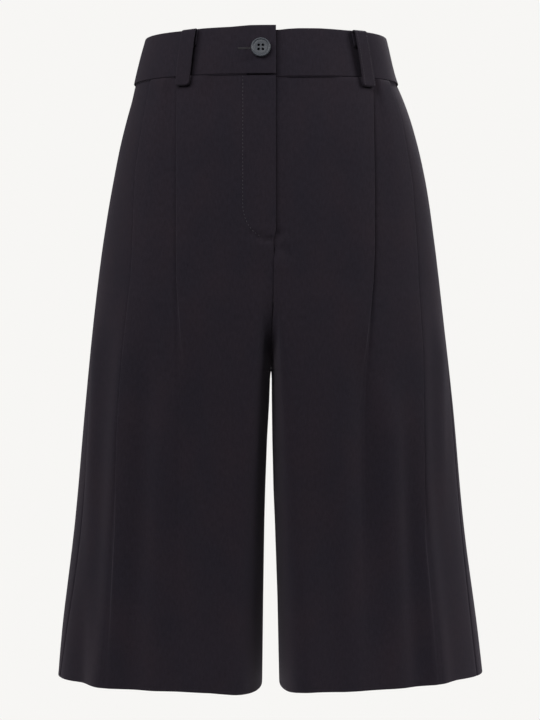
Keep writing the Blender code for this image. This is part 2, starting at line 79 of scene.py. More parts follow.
BODY_COLUMNS = ("z", "side_right", "side_left", "front", "back", "widest",
                "seam_right", "seam_left", "front_power", "back_power")
BODY_ROWS = (
    (22, 117.3, 109.5, -90, 84, 0, 3, 3, 2.05, 2.15),
    (-22, 128.4, 121.0, -96, 92, 0, 3, 3, 2.05, 2.20),
    (-36, 131.6, 127.2, -97, 96, 2, 5, 5, 2.05, 2.20),
    (-55, 137.0, 134.3, -98.5, 101, 5, 8, 8, 2.08, 2.25),
    (-74, 142.0, 140.0, -100, 106, 7, 11, 10, 2.10, 2.25),
    (-112, 150.1, 149.0, -102, 114, 12, 14, 13, 2.10, 2.30),
    (-170, 160.2, 158.0, -104, 122, 17, 13, 12, 2.10, 2.30),
    (-247, 170.2, 167.4, -104, 122, 23, -2, 3, 2.10, 2.25),
    (-324, 178.2, 176.4, -102, 118, 28, -12, 1, 2.05, 2.20),
    (-441, 189.0, 187.4, -97, 116, 32, -11, 2, 2.00, 2.10),
    (-558, 202.6, 202.2, -93, 115, 33, 0, -5, 2.00, 2.10),
    (HEM, 205.4, 206.0, -92, 115, 32, 7, -5, 2.00, 2.10),
)
INNER_COLUMNS = ("z", "inner_right", "inner_left", "front_shoulder", "back_shoulder")
INNER_ROWS = (
    (22, -1.85, 2.15, 0, 0),
    (-175, -3.35, 3.65, 0, 0),
    (-203, -3.35, 3.65, 2, 0),
    (-230, -3.00, 3.30, 8, 8),
    (-265, -1.85, 2.15, 12, 20),
    (-295, -0.85, 1.15, 15, 30),
    (-303, -0.10, 1.60, 16, 32),
    (-325, 0.7, 1.7, 18, 35),
    (-362, 2.8, 2.2, 21, 40),
    (-410, 4.6, 3.3, 25, 43),
    (-440, 5.4, 4.6, 27, 45),
    (-478, 6.0, 5.9, 30, 47),
    (-516, 6.6, 7.2, 34, 49),
    (HEM, 7.5, 8.8, 38, 52),
)
SHOULDER_POWER = 2.5
CROTCH_POWER = 3.0
SEAM_TURN = 4.0           # depth of the turned-in edge along the rise's seam
SEAM_TURN_MOST = 0.3      # share of the seam's depth that it may take
BACK_SEAM_SHIFT = 0.6
# How far the hem's line is raised: (distance from x = 0, height).
HEM_LINE = {
    "right": ((18, -2.0), (32, -1.8), (55, -0.2), (98, 0.3), (139, 0.6), (180, 1.6), (206, 1.8)),
    "left": ((18, -1.2), (28, 0.0), (46, 0.6), (68, 0.4), (107, 2.0), (139, 2.9), (178, 5.2),
             (206, 4.6)),
}

FLY_COLUMNS = ("z", "edge_right", "edge_left", "tuck")
FLY_ROWS = (
    (22, -5.5, -4.0, 1.6),
    (-166, -5.5, -4.0, 1.6),
    (-175, -3.35, -4.0, 1.6),
    (-184, -3.35, 3.65, 1.6),
    (-194, -3.35, 3.65, 0.0),
    (HEM, -3.35, 3.65, 0.0),
)
TUCK_START = 8.0
TUCK_END = 17.0
FLY_END = -176.0          # height below which the rise is a plain seam
FLY_END_SPAN = 12.0

# Each pleat's fold line, hidden width, turn in degrees and height over the cloth beside it.
PLEAT_COLUMNS = ("z", "fold", "under", "turn", "step")
PLEAT_ROWS = {
    ("right", "inner"): (
        (-22, 85.0, 17, 180, 2.8),
        (-130, 85.2, 9, 180, 2.8),
        (-185, 85.2, 2, 180, 2.8),
        (-215, 85.0, 0, 120, 2.4),
        (-245, 84.4, 0, 55, 1.5),
        (-275, 83.6, 0, 20, 0.8),
        (-310, 83.0, 0, 6, 0.4),
        (HEM, 86.0, 0, 6, 0.4),
    ),
    ("left", "inner"): (
        (-22, 94.2, 17, 180, 2.8),
        (-130, 95.6, 9, 180, 2.8),
        (-185, 95.4, 2, 180, 2.8),
        (-215, 94.2, 0, 120, 2.4),
        (-260, 91.2, 0, 55, 1.6),
        (-290, 89.4, 0, 20, 0.9),
        (-330, 87.8, 0, 6, 0.4),
        (HEM, 90.0, 0, 6, 0.4),
    ),
    ("right", "outer"): (
        (-22, 109.6, 14, 180, 2.8),
        (-62, 117.0, 12, 180, 2.8),
        (-110, 124.2, 10, 180, 2.8),
        (-192, 127.0, 6, 180, 2.8),
        (-276, 132.6, 2, 180, 2.8),
        (-351, 137.3, 0, 110, 2.6),
        (-435, 141.0, 0, 60, 2.4),
        (-528, 147.6, 0, 35, 2.2),
        (HEM, 152.0, 0, 25, 1.8),
    ),
    ("left", "outer"): (
        (-22, 109.6, 14, 180, 2.8),
        (-58, 121.4, 12, 180, 2.8),
        (-119, 131.7, 10, 180, 2.8),
        (-192, 136.6, 7, 180, 2.8),
        (-276, 138.2, 4, 180, 2.8),
        (-351, 138.4, 2, 180, 2.8),
        (-400, 139.4, 0, 110, 2.6),
        (-454, 142.9, 0, 50, 2.4),
        (-528, 150.6, 0, 35, 2.2),
        (HEM, 156.6, 0, 25, 1.8),
    ),
}
TURN_POINTS = 8
PLEAT_CLEAR = 4.0         # from the end of a pleat's ramp to its underlay
LEAST_RAMP = 3.0
GROOVE_DEPTH = 1.3
GROOVE_STEP = 1.8         # height of a pleat from which its groove has its full depth
GROOVE_FADE = -390.0
GROOVE_FADE_SPAN = 90.0
GROOVE_FADE_SHARE = 0.8
GROOVE_AFTER_FOLD = 0.8
GROOVE_AFTER_PATH = 1.0
# The groove beside a fold: (distance from its start, share of its depth).
GROOVE = ((0.0, 1.0), (0.9, 0.95), (2.0, 0.6), (3.4, 0.2), (5.0, 0.0))

# Soft folds, given one by one: (z, distance from x = 0, height out, half width).
FOLDS = {
    ("right", "front"): (
        ((-240, 164, 0.0, 7), (-280, 165, 1.6, 7), (-380, 168, 1.6, 7), (-470, 170, 0.7, 8),
         (-510, 171, 0.0, 9)),
        ((-210, 129, 0.0, 12), (-276, 133, 2.2, 12), (-351, 138, 3.2, 13), (-435, 142, 3.6, 13),
         (-528, 149, 3.2, 12), (HEM, 156, 4.2, 12)),
        ((-500, 176, 0.0, 7), (-545, 179, -1.4, 8), (HEM, 182, -2.4, 9)),
        ((-260, 112, 0.0, 10), (-330, 116, -1.4, 11), (-450, 120, -1.8, 12), (HEM, 126, -2.0, 14)),
        ((-250, 70, 0.0, 16), (-340, 72, -2.0, 20), (-520, 80, -2.6, 24), (HEM, 86, -2.6, 26)),
        ((-300, 97, 0.0, 9), (-360, 99, 1.3, 10), (-470, 104, 1.5, 11), (HEM, 110, 0.8, 12)),
    ),
    ("left", "front"): (
        ((-240, 160, 0.0, 7), (-280, 160, 1.6, 7), (-360, 160, 1.5, 7), (-430, 162, 0.6, 8),
         (-460, 164, 0.0, 9)),
        ((-210, 137, 0.0, 12), (-276, 139, 2.0, 11), (-351, 140, 2.8, 11), (-400, 141, 3.0, 11),
         (-454, 144, 3.2, 11), (-528, 152, 3.0, 11), (HEM, 158, 3.4, 11)),
        ((-300, 108, 0.0, 9), (-350, 111, 2.6, 10), (-450, 114, 2.6, 11), (-530, 118, 1.4, 12),
         (HEM, 122, 0.4, 12)),
        ((-260, 84, 0.0, 12), (-310, 86, -2.4, 11), (-400, 88, -2.8, 13), (-500, 92, -2.2, 15),
         (HEM, 96, -1.2, 16)),
        ((-340, 126, 0.0, 9), (-420, 128, -1.4, 9), (-540, 134, -2.0, 10), (HEM, 139, -2.2, 11)),
        ((-380, 50, 0.0, 16), (-460, 54, -1.6, 18), (HEM, 62, -2.2, 20)),
    ),
    ("right", "back"): (
        ((-190, 96, 0.0, 14), (-280, 100, 1.8, 14), (-420, 108, 2.2, 15), (HEM, 118, 2.6, 18)),
        ((-230, 140, 0.0, 12), (-330, 146, 1.5, 12), (-460, 154, 1.7, 13), (HEM, 164, 2.0, 15)),
        ((-240, 62, 0.0, 14), (-330, 64, -1.6, 14), (-470, 70, -1.4, 16), (HEM, 76, -1.8, 18)),
    ),
    ("left", "back"): (
        ((-200, 92, 0.0, 14), (-290, 95, 1.7, 14), (-400, 100, 2.1, 14), (HEM, 110, 2.3, 18)),
        ((-240, 136, 0.0, 12), (-340, 141, 1.6, 12), (-450, 148, 1.6, 14), (HEM, 158, 2.2, 15)),
        ((-250, 58, 0.0, 14), (-340, 62, -1.5, 14), (-450, 66, -1.6, 16), (HEM, 72, -1.6, 18)),
    ),
}
FOLD_GAIN = {"front": 1.9, "back": 1.0}
# Small pulls: (distance from x = 0, z, half width, half height, height out).
PULLS = {
    ("right", "front"): ((17, -168.5, 4, 2.2, -0.9), (10, -173, 5, 2.2, -1.6),
                         (1, -175, 6, 2.2, -1.9), (9, -205, 9, 20, -1.0)),
    ("left", "front"): ((9, -169, 4, 4.0, -1.3), (14, -177, 4, 6.0, 1.0), (17, -185, 4, 7.0, -0.8),
                        (9, -196, 4, 14, 0.8)),
    ("right", "back"): ((34, -262, 22, 7, 1.2), (30, -276, 20, 6, -1.1), (56, -246, 24, 8, 0.8)),
    ("left", "back"): ((30, -258, 20, 7, 1.1), (34, -273, 22, 6, -1.0), (60, -240, 24, 9, 0.8)),
}
DART_X = 58.0
DART_TOP = -23.0
DART_END = -118.0
DART_LEAN = 0.10
DART_DEPTH = 0.55
DART_HALF_WIDTH = 1.3
DART_FADE = 30.0


def smooth_table(names, rows):
    """Return a function from height to the table's values, curved between rows."""
    data = np.array(sorted(rows), dtype=float)
    heights = data[:, 0]
    slopes = np.gradient(data, heights, axis=0)

    def lookup(z):
        z = min(max(z, heights[0]), heights[-1])
        k = int(np.clip(np.searchsorted(heights, z) - 1, 0, len(heights) - 2))
        span = heights[k + 1] - heights[k]
        t = (z - heights[k]) / span
        near = (1 + 2 * t) * (1 - t) ** 2 * data[k] + t * (1 - t) ** 2 * span * slopes[k]
        far = t * t * (3 - 2 * t) * data[k + 1] + t * t * (t - 1) * span * slopes[k + 1]
        return dict(zip(names, near + far))

    return lookup


def straight_table(names, rows):
    """Return a function from height to the table's values, straight between rows."""
    data = np.array(sorted(rows), dtype=float)

    def lookup(z):
        return {name: float(np.interp(z, data[:, 0], data[:, k])) for k, name in enumerate(names)}

    return lookup


body_at = smooth_table(BODY_COLUMNS, BODY_ROWS)
inner_at = straight_table(INNER_COLUMNS, INNER_ROWS)
fly_at = straight_table(FLY_COLUMNS, FLY_ROWS)
pleat_at = {key: straight_table(PLEAT_COLUMNS, rows) for key, rows in PLEAT_ROWS.items()}


def ease(value):
    """Smooth step from 0 to 1, for a number or an array."""
    value = np.clip(value, 0.0, 1.0)
    return value * value * (3 - 2 * value)


def rise_depth(z, surface_y, curve_height):
    """Depth of the rise seam behind the surface at this height."""
    full = INSEAM_Y - surface_y
    if z <= CROTCH:
        return full
    if z >= CROTCH + curve_height:
        return 0.0
    share = 1.0 - (z - CROTCH) / curve_height
    return full * (1.0 - (1.0 - share ** RISE_POWER) ** (1 / RISE_POWER))


def inner_quarter(inner, shoulder, surface_y, depth):
    """Points from the inner edge of a leg round its shoulder to the front or back face."""
    angle = np.linspace(math.pi / 2, 0.0, 49)
    across = np.sin(angle) ** (2 / SHOULDER_POWER)
    back = 1.0 - np.maximum(np.cos(angle), 0.0) ** (2 / SHOULDER_POWER)
    whole = shoulder - (shoulder - inner) * across
    share = depth / (INSEAM_Y - surface_y)
    turned = 1.0 - min(SEAM_TURN / max(depth, 1.0), SEAM_TURN_MOST)
    far = float(np.interp(turned * share, back[::-1], whole[::-1])) - inner
    x = np.interp(back * share, back[::-1], whole[::-1])
    x = np.maximum(x - far * (back / turned) ** CROTCH_POWER, inner)
    x[back > turned] = inner
    return np.stack([x, surface_y + depth * back], axis=1)


def outer_quarter(shoulder, side, surface_y, widest_y, power):
    """Points from the middle of the front or back face to the widest point."""
    angle = np.linspace(0.0, math.pi / 2, 121)
    across = np.sin(angle) ** (2 / power)
    along = np.maximum(np.cos(angle), 0.0) ** (2 / power)
    x = shoulder + (side - shoulder) * across
    return np.stack([x, widest_y - (widest_y - surface_y) * along], axis=1)


PAST_CENTRE = -30.0       # how far the front goes on past x = 0, for the fly and the band
LEAST_SHOULDER = 0.05
TANGENT_REACH = 0.8       # to each side, for the direction of the section


class Section:
    """Half of the body's horizontal section at one height, front edge to back edge."""

    def __init__(self, side, z):
        body = body_at(z)
        inner = inner_at(z)
        self.sign = -1.0 if side == "right" else 1.0
        self.z = z
        self.seam_y = body["seam_" + side]
        reach = body["side_" + side]
        face = inner["inner_" + side]
        if z > CROTCH:
            face -= (SEAM_GAP - SEAM_CLEAR) / 2
        shift = BACK_SEAM_SHIFT * ease((z - CROTCH) / SHIFT_EASE) * self.sign
        self.depth = {}
        edges = {}
        quarters = {}
        for name, moved in (("front", 0.0), ("back", shift)):
            depth = rise_depth(z, body[name], RISE_CURVE[name])
            edge = face + moved + CLOTH / 2 * ease(abs(depth) / SEAM_EASE)
            shoulder = max(inner[name + "_shoulder"], edge + LEAST_SHOULDER)
            self.depth[name] = abs(depth)
            edges[name] = inner_quarter(edge, shoulder, body[name], depth)
            quarters[name] = outer_quarter(shoulder, reach, body[name], body["widest"],
                                           body[name + "_power"])
        past = np.zeros((0, 2))
        if self.depth["front"] == 0.0:
            power = body["front_power"]
            inside, middle = edges["front"][0, 0], quarters["front"][0, 0]
            x = np.linspace(PAST_CENTRE, inside - 1.0, 16)
            along = (1.0 - (np.abs(x - middle) / (reach - middle)) ** power) ** (1 / power)
            past = np.stack([x, body["widest"] - (body["widest"] - body["front"]) * along], axis=1)
        front, quarter = edges["front"], quarters["front"]
        rear, back = quarters["back"][::-1], edges["back"][::-1]
        self.points = np.concatenate([past, front, quarter[1:], rear[1:], back[1:]])
        length = np.concatenate([[0.0], np.cumsum(np.hypot(*np.diff(self.points, axis=0).T))])
        self.length = length - length[len(past)]
        self.face_start = len(past) + len(front) - 1
        self.widest = self.face_start + len(quarter) - 1
        self.front_face = slice(self.face_start, self.widest + 1)
        self.back_face = slice(self.widest, self.widest + len(rear))
        self.end = float(self.length[-1])

    def at_front_x(self, x):
        """Length along the section where the front has this distance from the centre."""
        first = 0 if x < self.points[self.face_start, 0] else self.face_start
        last = self.widest + 1
        return float(np.interp(x, self.points[first:last, 0], self.length[first:last]))

    def at_back_x(self, x):
        """The same on the back."""
        xs = self.points[self.widest:, 0][::-1]
        return float(np.interp(x, xs, self.length[self.widest:][::-1]))

    def at_seam(self):
        """Length at the side seam."""
        part = self.back_face
        if self.seam_y <= self.points[self.widest, 1]:
            part = self.front_face
        return float(np.interp(self.seam_y, self.points[part, 1], self.length[part]))

    def flat(self, along):
        """Points (distance from x = 0, y) at lengths along the section."""
        return np.stack([np.interp(along, self.length, column) for column in self.points.T],
                        axis=-1)

    def place(self, along, out):
        """Points in millimetres at lengths along the section, moved outward."""
        along = np.asarray(along, dtype=float)
        run = self.flat(along + TANGENT_REACH) - self.flat(along - TANGENT_REACH)
        run /= np.maximum(np.linalg.norm(run, axis=-1, keepdims=True), 1e-9)
        spot = self.flat(along)
        spot[..., 0] += out * run[..., 1]
        spot[..., 1] -= out * run[..., 0]
        return np.stack([self.sign * spot[..., 0], spot[..., 1],
                         np.full(np.shape(along), self.z)], axis=-1)


def end_drop(points):
    """How much lower the left front of the waist sits at these points."""
    drop = LEFT_END_DROP * (1.0 - ease(points[..., 0] / DROP_REACH))
    return np.where(points[..., 1] > 0.0, 0.0, drop)


def top_lift(points, side):
    """How much the front of the waistband's top line is raised at these points."""
    share = ease((points[..., 2] - TOP_LINE_START) / TOP_LINE_SPAN)
    lift = share * np.interp(points[..., 0], *zip(*TOP_LINE[side]))
    return np.where(points[..., 1] > 0.0, 0.0, lift)


def finish_height(points, side):
    """Bring the lowest rows to the hem's line and lower the left end of the waist."""
    z = points[..., 2].copy()
    share = ease((HEM_LINE_START - z) / (HEM_LINE_START - HEM))
    lift = share * np.interp(np.abs(points[..., 0]), *zip(*HEM_LINE[side]))
    lift += top_lift(points, side)
    drop = 0.0
    if side == "left":
        drop = end_drop(points) * ease((z - DROP_START) / DROP_SPAN)
    points[..., 2] = z + lift - drop
    return points


def relief(side, face, x, z):
    """Outward height of the listed folds, pulls and dart at distances x and height z."""
    out = np.zeros_like(x)
    for fold in FOLDS[(side, face)]:
        rows = np.array(sorted(fold), dtype=float)
        if z > rows[-1, 0]:
            continue
        middle, height, width = (np.interp(z, rows[:, 0], rows[:, k]) for k in (1, 2, 3))
        out += FOLD_GAIN[face] * height * np.exp(-((x - middle) / width) ** 2)
    for middle, level, width, tall, height in PULLS[(side, face)]:
        out += height * np.exp(-((x - middle) / width) ** 2 - ((z - level) / tall) ** 2)
    if face == "back" and DART_END < z:
        fade = ease((z - DART_END) / DART_FADE)
        line = DART_X + DART_LEAN * (DART_TOP - z)
        out -= DART_DEPTH * fade * np.exp(-((x - line) / DART_HALF_WIDTH) ** 2)
    return out


def spread(start, end, count):
    """Evenly spaced values after start, up to and with end."""
    return [start + (end - start) * (k + 1) / count for k in range(count)]


def pleat_path(under, turn_degrees, step):
    """Fold from its top layer to the cloth under it, as (along, out) from its start."""
    turn = math.radians(turn_degrees)
    radius = step * (1.0 - 0.3 * math.sin(turn)) / (4.0 * math.sin(turn / 2) ** 2)
    straight = under + 0.3 * step * math.sin(turn / 2) ** 0.5
    if turn_degrees < 179.0:
        straight = max(step - 2 * radius * (1 - math.cos(turn)), 0.0) / math.sin(turn) + under
    path = []
    for k in range(TURN_POINTS + 1):
        angle = turn * k / TURN_POINTS
        path.append((radius * math.sin(angle), step - radius * (1 - math.cos(angle))))
    along, out = path[-1]
    along += straight * math.cos(turn)
    out -= straight * math.sin(turn)
    for k in range(TURN_POINTS + 1):
        angle = turn * (1 - k / TURN_POINTS)
        path.append((along + radius * (math.sin(turn) - math.sin(angle)),
                     out - radius * (math.cos(angle) - math.cos(turn))))
    return path


# Cloth rows ------------------------------------------------------------------
EDGE_STEPS = (0.0, 0.35, 0.8, 1.4, 2.2, 3.4)
SEAM_ROLL = 1.1
SEAM_ROLL_WIDTH = 1.5
PANEL_TOP = -22.7
HEM_TURN = 0.6
HEM_ALLOWANCE = 35.0
# Rows of a panel: heights, and (from, to, step) of the evenly spaced ones.
TORSO_ROWS = (PANEL_TOP, -23.1, -23.8, -25.0, -27.0)
TORSO_SPACINGS = ((-31.0, -163.0, -5.0), (-163.0, -203.0, -3.0))
RISE_ROWS = 27
LEG_SPACING = -5.5
HEM_TURN_STEPS = 6
ALLOWANCE_ROWS = (4.0, 10.0, 17.0, 25.0, HEM_ALLOWANCE - 1.0)
ALLOWANCE_LEAN = 0.3      # how far its cut edge leans back to the panel
# Columns of a panel.
GUIDE = 52.0              # distance from x = 0 of the column that the cloth is counted from
TURN_X = 20.0
BACK_TURN_X = 36.0
NEAR_SHARE = 0.7          # of the way from the inner edge to the turn of the leg
NEAR_MOST = 30.0
BACK_NEAR_MOST = 45.0
DART_COLUMNS = (-2.6, -1.6, -0.8, 0.0, 0.8, 1.6, 2.6)
DART_CLEAR = 4.0
WAIST_ROLL = 0.5
WAIST_ROLL_HEIGHT = 1.4


def with_edge(start, end, count, near_start=False, near_end=False):
    """Lengths from start to end, closer together beside a sewn edge."""
    first = start + EDGE_STEPS[-1] if near_start else start
    last = end - EDGE_STEPS[-1] if near_end else end
    lengths = [start + d for d in EDGE_STEPS] if near_start else [start]
    lengths += spread(first, last, count)
    if near_end:
        lengths += [end - d for d in reversed(EDGE_STEPS[:-1])]
    return lengths


def panel_levels():
    """(height, shift inward) of each panel row: waist seam, hem, its turn and its allowance."""
    torso = list(TORSO_ROWS)
    for spacing in TORSO_SPACINGS:
        torso += list(np.arange(*spacing))
    angles = np.linspace(math.pi / 2, 0.0, RISE_ROWS)
    rise = [CROTCH + RISE_CURVE["front"] * (1.0 - math.cos(a)) for a in angles]
    leg = list(np.arange(CROTCH - 3.0, HEM + 3.0, LEG_SPACING)) + [HEM + 2.0]
    levels = [(z, 0.0) for z in torso + rise + leg]
    for k in range(HEM_TURN_STEPS + 1):
        a = math.pi * k / HEM_TURN_STEPS
        levels.append((HEM + HEM_TURN * (1.0 - math.sin(a)), HEM_TURN * (1.0 - math.cos(a))))
    levels += [(HEM + d, 2 * HEM_TURN) for d in ALLOWANCE_ROWS]
    levels.append((HEM + HEM_ALLOWANCE, 2 * HEM_TURN - ALLOWANCE_LEAN))
    return levels


def seam_roll(distance):
    """How far the cloth rolls in at this distance from a seam."""
    return SEAM_ROLL * np.exp(-(distance / SEAM_ROLL_WIDTH) ** 2)


def waist_roll(z):
    """How far the panel rolls in under the waistband at this height."""
    return WAIST_ROLL * math.exp(-((PANEL_TOP - z) / WAIST_ROLL_HEIGHT) ** 2)


def pleat_places(section, pleat, previous):
    """Columns of one pleat: the ramp up to it, its folds and the groove beside it."""
    step = pleat["step"]
    path = pleat_path(pleat["under"], pleat["turn"], step)
    fold = section.at_front_x(pleat["fold"])
    start = fold - max(along for along, out in path)
    room = max(start - pleat["under"] - PLEAT_CLEAR - previous, LEAST_RAMP)
    places = [(along, step * float(ease((along - previous) / room)))
              for along in spread(previous, start, 12)[:-1]]
    places += [(start + along, out) for along, out in path]
    first = max(fold + GROOVE_AFTER_FOLD, start + path[-1][0] + GROOVE_AFTER_PATH)
    fade = float(ease((GROOVE_FADE - section.z) / GROOVE_FADE_SPAN))
    depth = GROOVE_DEPTH * min(step / GROOVE_STEP, 1.0)
    depth *= 1.0 - GROOVE_FADE_SHARE * fade
    return places + [(first + run, -depth * share) for run, share in GROOVE]


def front_places(section, side, z):
    """(lengths, heights out) of the columns of a front panel at one height."""
    fly = fly_at(z)
    sewn = float(ease((FLY_END - z) / FLY_END_SPAN))
    edge = 0.0 if z > CROTCH else SEAM_CLEAR / 2
    if z > CROTCH + RISE_CURVE["front"]:
        edge = section.at_front_x(fly["edge_" + side] - sewn * (SEAM_GAP - SEAM_CLEAR) / 2)
    guide = section.at_front_x(GUIDE)
    turn = section.at_front_x(TURN_X)
    near = turn - min(NEAR_MOST, NEAR_SHARE * (turn - edge))
    places = [(v, 0.0) for v in with_edge(edge, near, 10, near_start=True)]
    places += [(v, 0.0) for v in spread(near, turn, 10) + spread(turn, guide, 10)]
    for name in ("inner", "outer"):
        places += pleat_places(section, pleat_at[(side, name)](z), places[-1][0])
    previous = places[-1][0]
    seam = section.at_seam() - SEAM_CLEAR / 2
    places += [(v, 0.0) for v in with_edge(previous, seam, 14, near_end=True)[1:]]
    lengths, outs = (np.array(column) for column in zip(*places))
    x = section.flat(lengths)[:, 0]
    if side == "left":
        outs -= fly["tuck"] * (1.0 - ease((x - TUCK_START) / (TUCK_END - TUCK_START)))
    outs -= seam_roll(seam - lengths)
    if z > CROTCH:
        sewn *= 1.0 - float(ease(section.depth["front"] / ROLL_EASE))
    outs -= sewn * seam_roll(lengths - edge)
    return lengths, outs + relief(side, "front", x, z)


def back_places(section, side, z):
    """(lengths, heights out) of the columns of a back panel at one height."""
    start = section.at_seam() + SEAM_CLEAR / 2
    end = section.end - (SEAM_CLEAR / 2 if z <= CROTCH else 0.0)
    dart = section.at_back_x(DART_X + DART_LEAN * (DART_TOP - max(z, DART_END)))
    lengths = with_edge(start, dart - DART_CLEAR, 30, near_start=True)
    lengths += [dart + d for d in (*DART_COLUMNS, DART_CLEAR)]
    turn = section.at_back_x(BACK_TURN_X)
    near = turn + min(BACK_NEAR_MOST, NEAR_SHARE * (end - turn))
    lengths += spread(dart + DART_CLEAR, turn, 10) + spread(turn, near, 12)
    lengths += with_edge(near, end, 10, near_end=True)[1:]
    lengths = np.array(lengths)
    x = section.flat(lengths)[:, 0]
    sewn = 1.0 if z <= CROTCH else 1.0 - float(ease(section.depth["back"] / ROLL_EASE))
    outs = -seam_roll(lengths - start) - sewn * seam_roll(end - lengths)
    return lengths, outs + relief(side, "back", x, z)


def beside(lengths, across):
    """Cloth coordinates of points at these lengths, all this far across."""
    return np.stack([lengths, np.full_like(lengths, across)], axis=-1)


def cloth_grid(side, face):
    """Points and cloth coordinates of one panel, row by row."""
    rows = []
    coordinates = []
    for z, inward in panel_levels():
        section = Section(side, z)
        places = front_places if face == "front" else back_places
        lengths, outs = places(section, side, z)
        outs = outs - inward - waist_roll(z)
        rows.append(finish_height(section.place(lengths, outs), side))
        guide = section.at_front_x(GUIDE) if face == "front" else section.at_back_x(GUIDE)
        coordinates.append(beside(lengths - guide, z - inward))
    return rows, coordinates


def grid_mesh(name, points, coordinates, wrap=False):
    """Object from a grid of points in millimetres, with its cloth coordinates as UV in metres."""
    points, coordinates = np.array(points), np.array(coordinates)
    rows, columns = points.shape[:2]
    faces = []
    corners = []
    for r in range(rows if wrap else rows - 1):
        below = (r + 1) % rows
        for c in range(columns - 1):
            faces.append((r * columns + c, below * columns + c,
                          below * columns + c + 1, r * columns + c + 1))
            corners += [(r, c), (r + 1, c), (r + 1, c + 1), (r, c + 1)]
    if wrap:
        faces.append(tuple(r * columns for r in range(rows)))
        faces.append(tuple(r * columns + columns - 1 for r in reversed(range(rows))))
        corners += [(r, 0) for r in range(rows)]
        corners += [(r, columns - 1) for r in reversed(range(rows))]
        coordinates = np.concatenate([coordinates, coordinates[:1]])
    mesh = bpy.data.meshes.new(name)
    mesh.from_pydata((points.reshape(-1, 3) * MM).tolist(), [], faces)
    layer = mesh.uv_layers.new(name="cloth")
    where = np.array(corners)
    layer.data.foreach_set("uv", (coordinates[where[:, 0], where[:, 1]] * MM).ravel())
    mesh.shade_smooth()
    if wrap:
        recalculate(mesh)
    return add_piece(name, mesh)


def add_piece(name, data):
    """Object of a mesh, a light or a camera, in the scene."""
    piece = bpy.data.objects.new(name, data)
    bpy.context.scene.collection.objects.link(piece)
    return piece


def mesh_of(shape, name):
    """New mesh from a shape, which is then freed."""
    mesh = bpy.data.meshes.new(name)
    shape.to_mesh(mesh)
    shape.free()
    return mesh


def bake(piece):
    """Replace a piece's mesh by its evaluated one and drop its modifiers."""
    graph = bpy.context.evaluated_depsgraph_get()
    mesh = bpy.data.meshes.new_from_object(piece.evaluated_get(graph))
    piece.modifiers.clear()
    old = piece.data
    piece.data = mesh
    bpy.data.meshes.remove(old)


def turn_out(piece, middle):
    """Flip the faces of an open sheet that look towards its leg's middle line, at this x."""
    score = 0.0
    for face in piece.data.polygons:
        away = Vector((face.center.x - middle, face.center.y, 0.0))
        score += face.normal.dot(away) * face.area
    if score < 0:
        piece.data.flip_normals()


def recalculate(mesh):
    """Point the faces of a closed mesh outwards."""
    shape = bmesh.new()
    shape.from_mesh(mesh)
    bmesh.ops.recalc_face_normals(shape, faces=shape.faces)
    shape.to_mesh(mesh)
    shape.free()


def add_wall(piece, thickness):
    """Give a sheet its wall."""
    wall = piece.modifiers.new("wall", "SOLIDIFY")
    wall.thickness = thickness
    wall.offset = 0.0
    wall.use_even_offset = True


# Waistband and belt loops ----------------------------------------------------
BAND_LIFT = 1.0
BAND_HALF = 1.1           # half of the wall's thickness
BAND_TUCK = 3.0           # how far the end that passes under the other lies in
BAND_ENDS = {"right": -5.5, "left": -22.0}
BAND_NEAR = 24.0          # distance from x = 0 in which the stations lie closer together
BAND_TOP_ROUND = 1.0
BAND_LOW_ROUND = 0.5
BAND_SWELL = 0.18
BAND_WAVE = 0.22
BAND_WAVE_START = {"right": 0.2, "left": 1.3}
BAND_WAVE_RUN = 19.0
BAND_WAVE_RISE = 17.0
BAND_END_SQUASH = 0.012
BAND_BACK_REACH = 3.0     # where the close stations at the back begin, from the end
BAND_BACK_LEAST = 0.6     # share of the wall's thickness that is left there
BAND_FACE_ROWS = (-20.5, -18, -14, -9, -4, 1, 6, 11, 15, 18)
BAND_INSIDE_ROWS = (16, 8, 0, -8, -16)
# How the wall thins to its ends: (distance from the end, share of its thickness).
END_TAPER = ((0.0, 0.45), (0.25, 0.72), (0.6, 0.88), (1.2, 0.97), (2.0, 1.0))


def arc(centre, radius, first, last, count):
    """Points of an arc in a plane, angles in degrees."""
    angles = np.radians(np.linspace(first, last, count))
    return [(centre[0] + radius * math.cos(a), centre[1] + radius * math.sin(a)) for a in angles]


def band_profile():
    """Closed outline of the waistband's wall as (out from its middle, z)."""
    low = (BAND_HALF - BAND_LOW_ROUND, BAND_BOTTOM + BAND_LOW_ROUND)
    top = (BAND_HALF - BAND_TOP_ROUND, BAND_TOP - BAND_TOP_ROUND)
    outline = arc(low, BAND_LOW_ROUND, -90, 0, 4)
    for z in BAND_FACE_ROWS:
        outline.append((BAND_HALF + BAND_SWELL * (1 - (z / BAND_TOP) ** 2), z))
    outline += arc(top, BAND_TOP_ROUND, 0, 90, 6)
    outline += arc((-top[0], top[1]), BAND_TOP_ROUND, 90, 180, 6)
    outline += [(-BAND_HALF, z) for z in BAND_INSIDE_ROWS]
    outline += arc((-low[0], low[1]), BAND_LOW_ROUND, 180, 260, 4)
    return outline


def band_stations(section, side):
    """(length, share of the wall's thickness) of each station from the front end to the back."""
    start = section.at_front_x(BAND_ENDS[side])
    near = section.at_front_x(BAND_NEAR)
    lengths = [start + d for d, share in END_TAPER]
    lengths += spread(start + END_TAPER[-1][0], near, 18)
    lengths += spread(near, section.end - BAND_BACK_REACH, 110)
    lengths += [section.end - d for d, share in reversed(END_TAPER)]
    shares = [share for d, share in END_TAPER]
    shares += [1.0] * (len(lengths) - 2 * len(END_TAPER))
    shares += [BAND_BACK_LEAST + (1.0 - BAND_BACK_LEAST) * share
               for d, share in reversed(END_TAPER)]
    return np.array(lengths), np.array(shares)


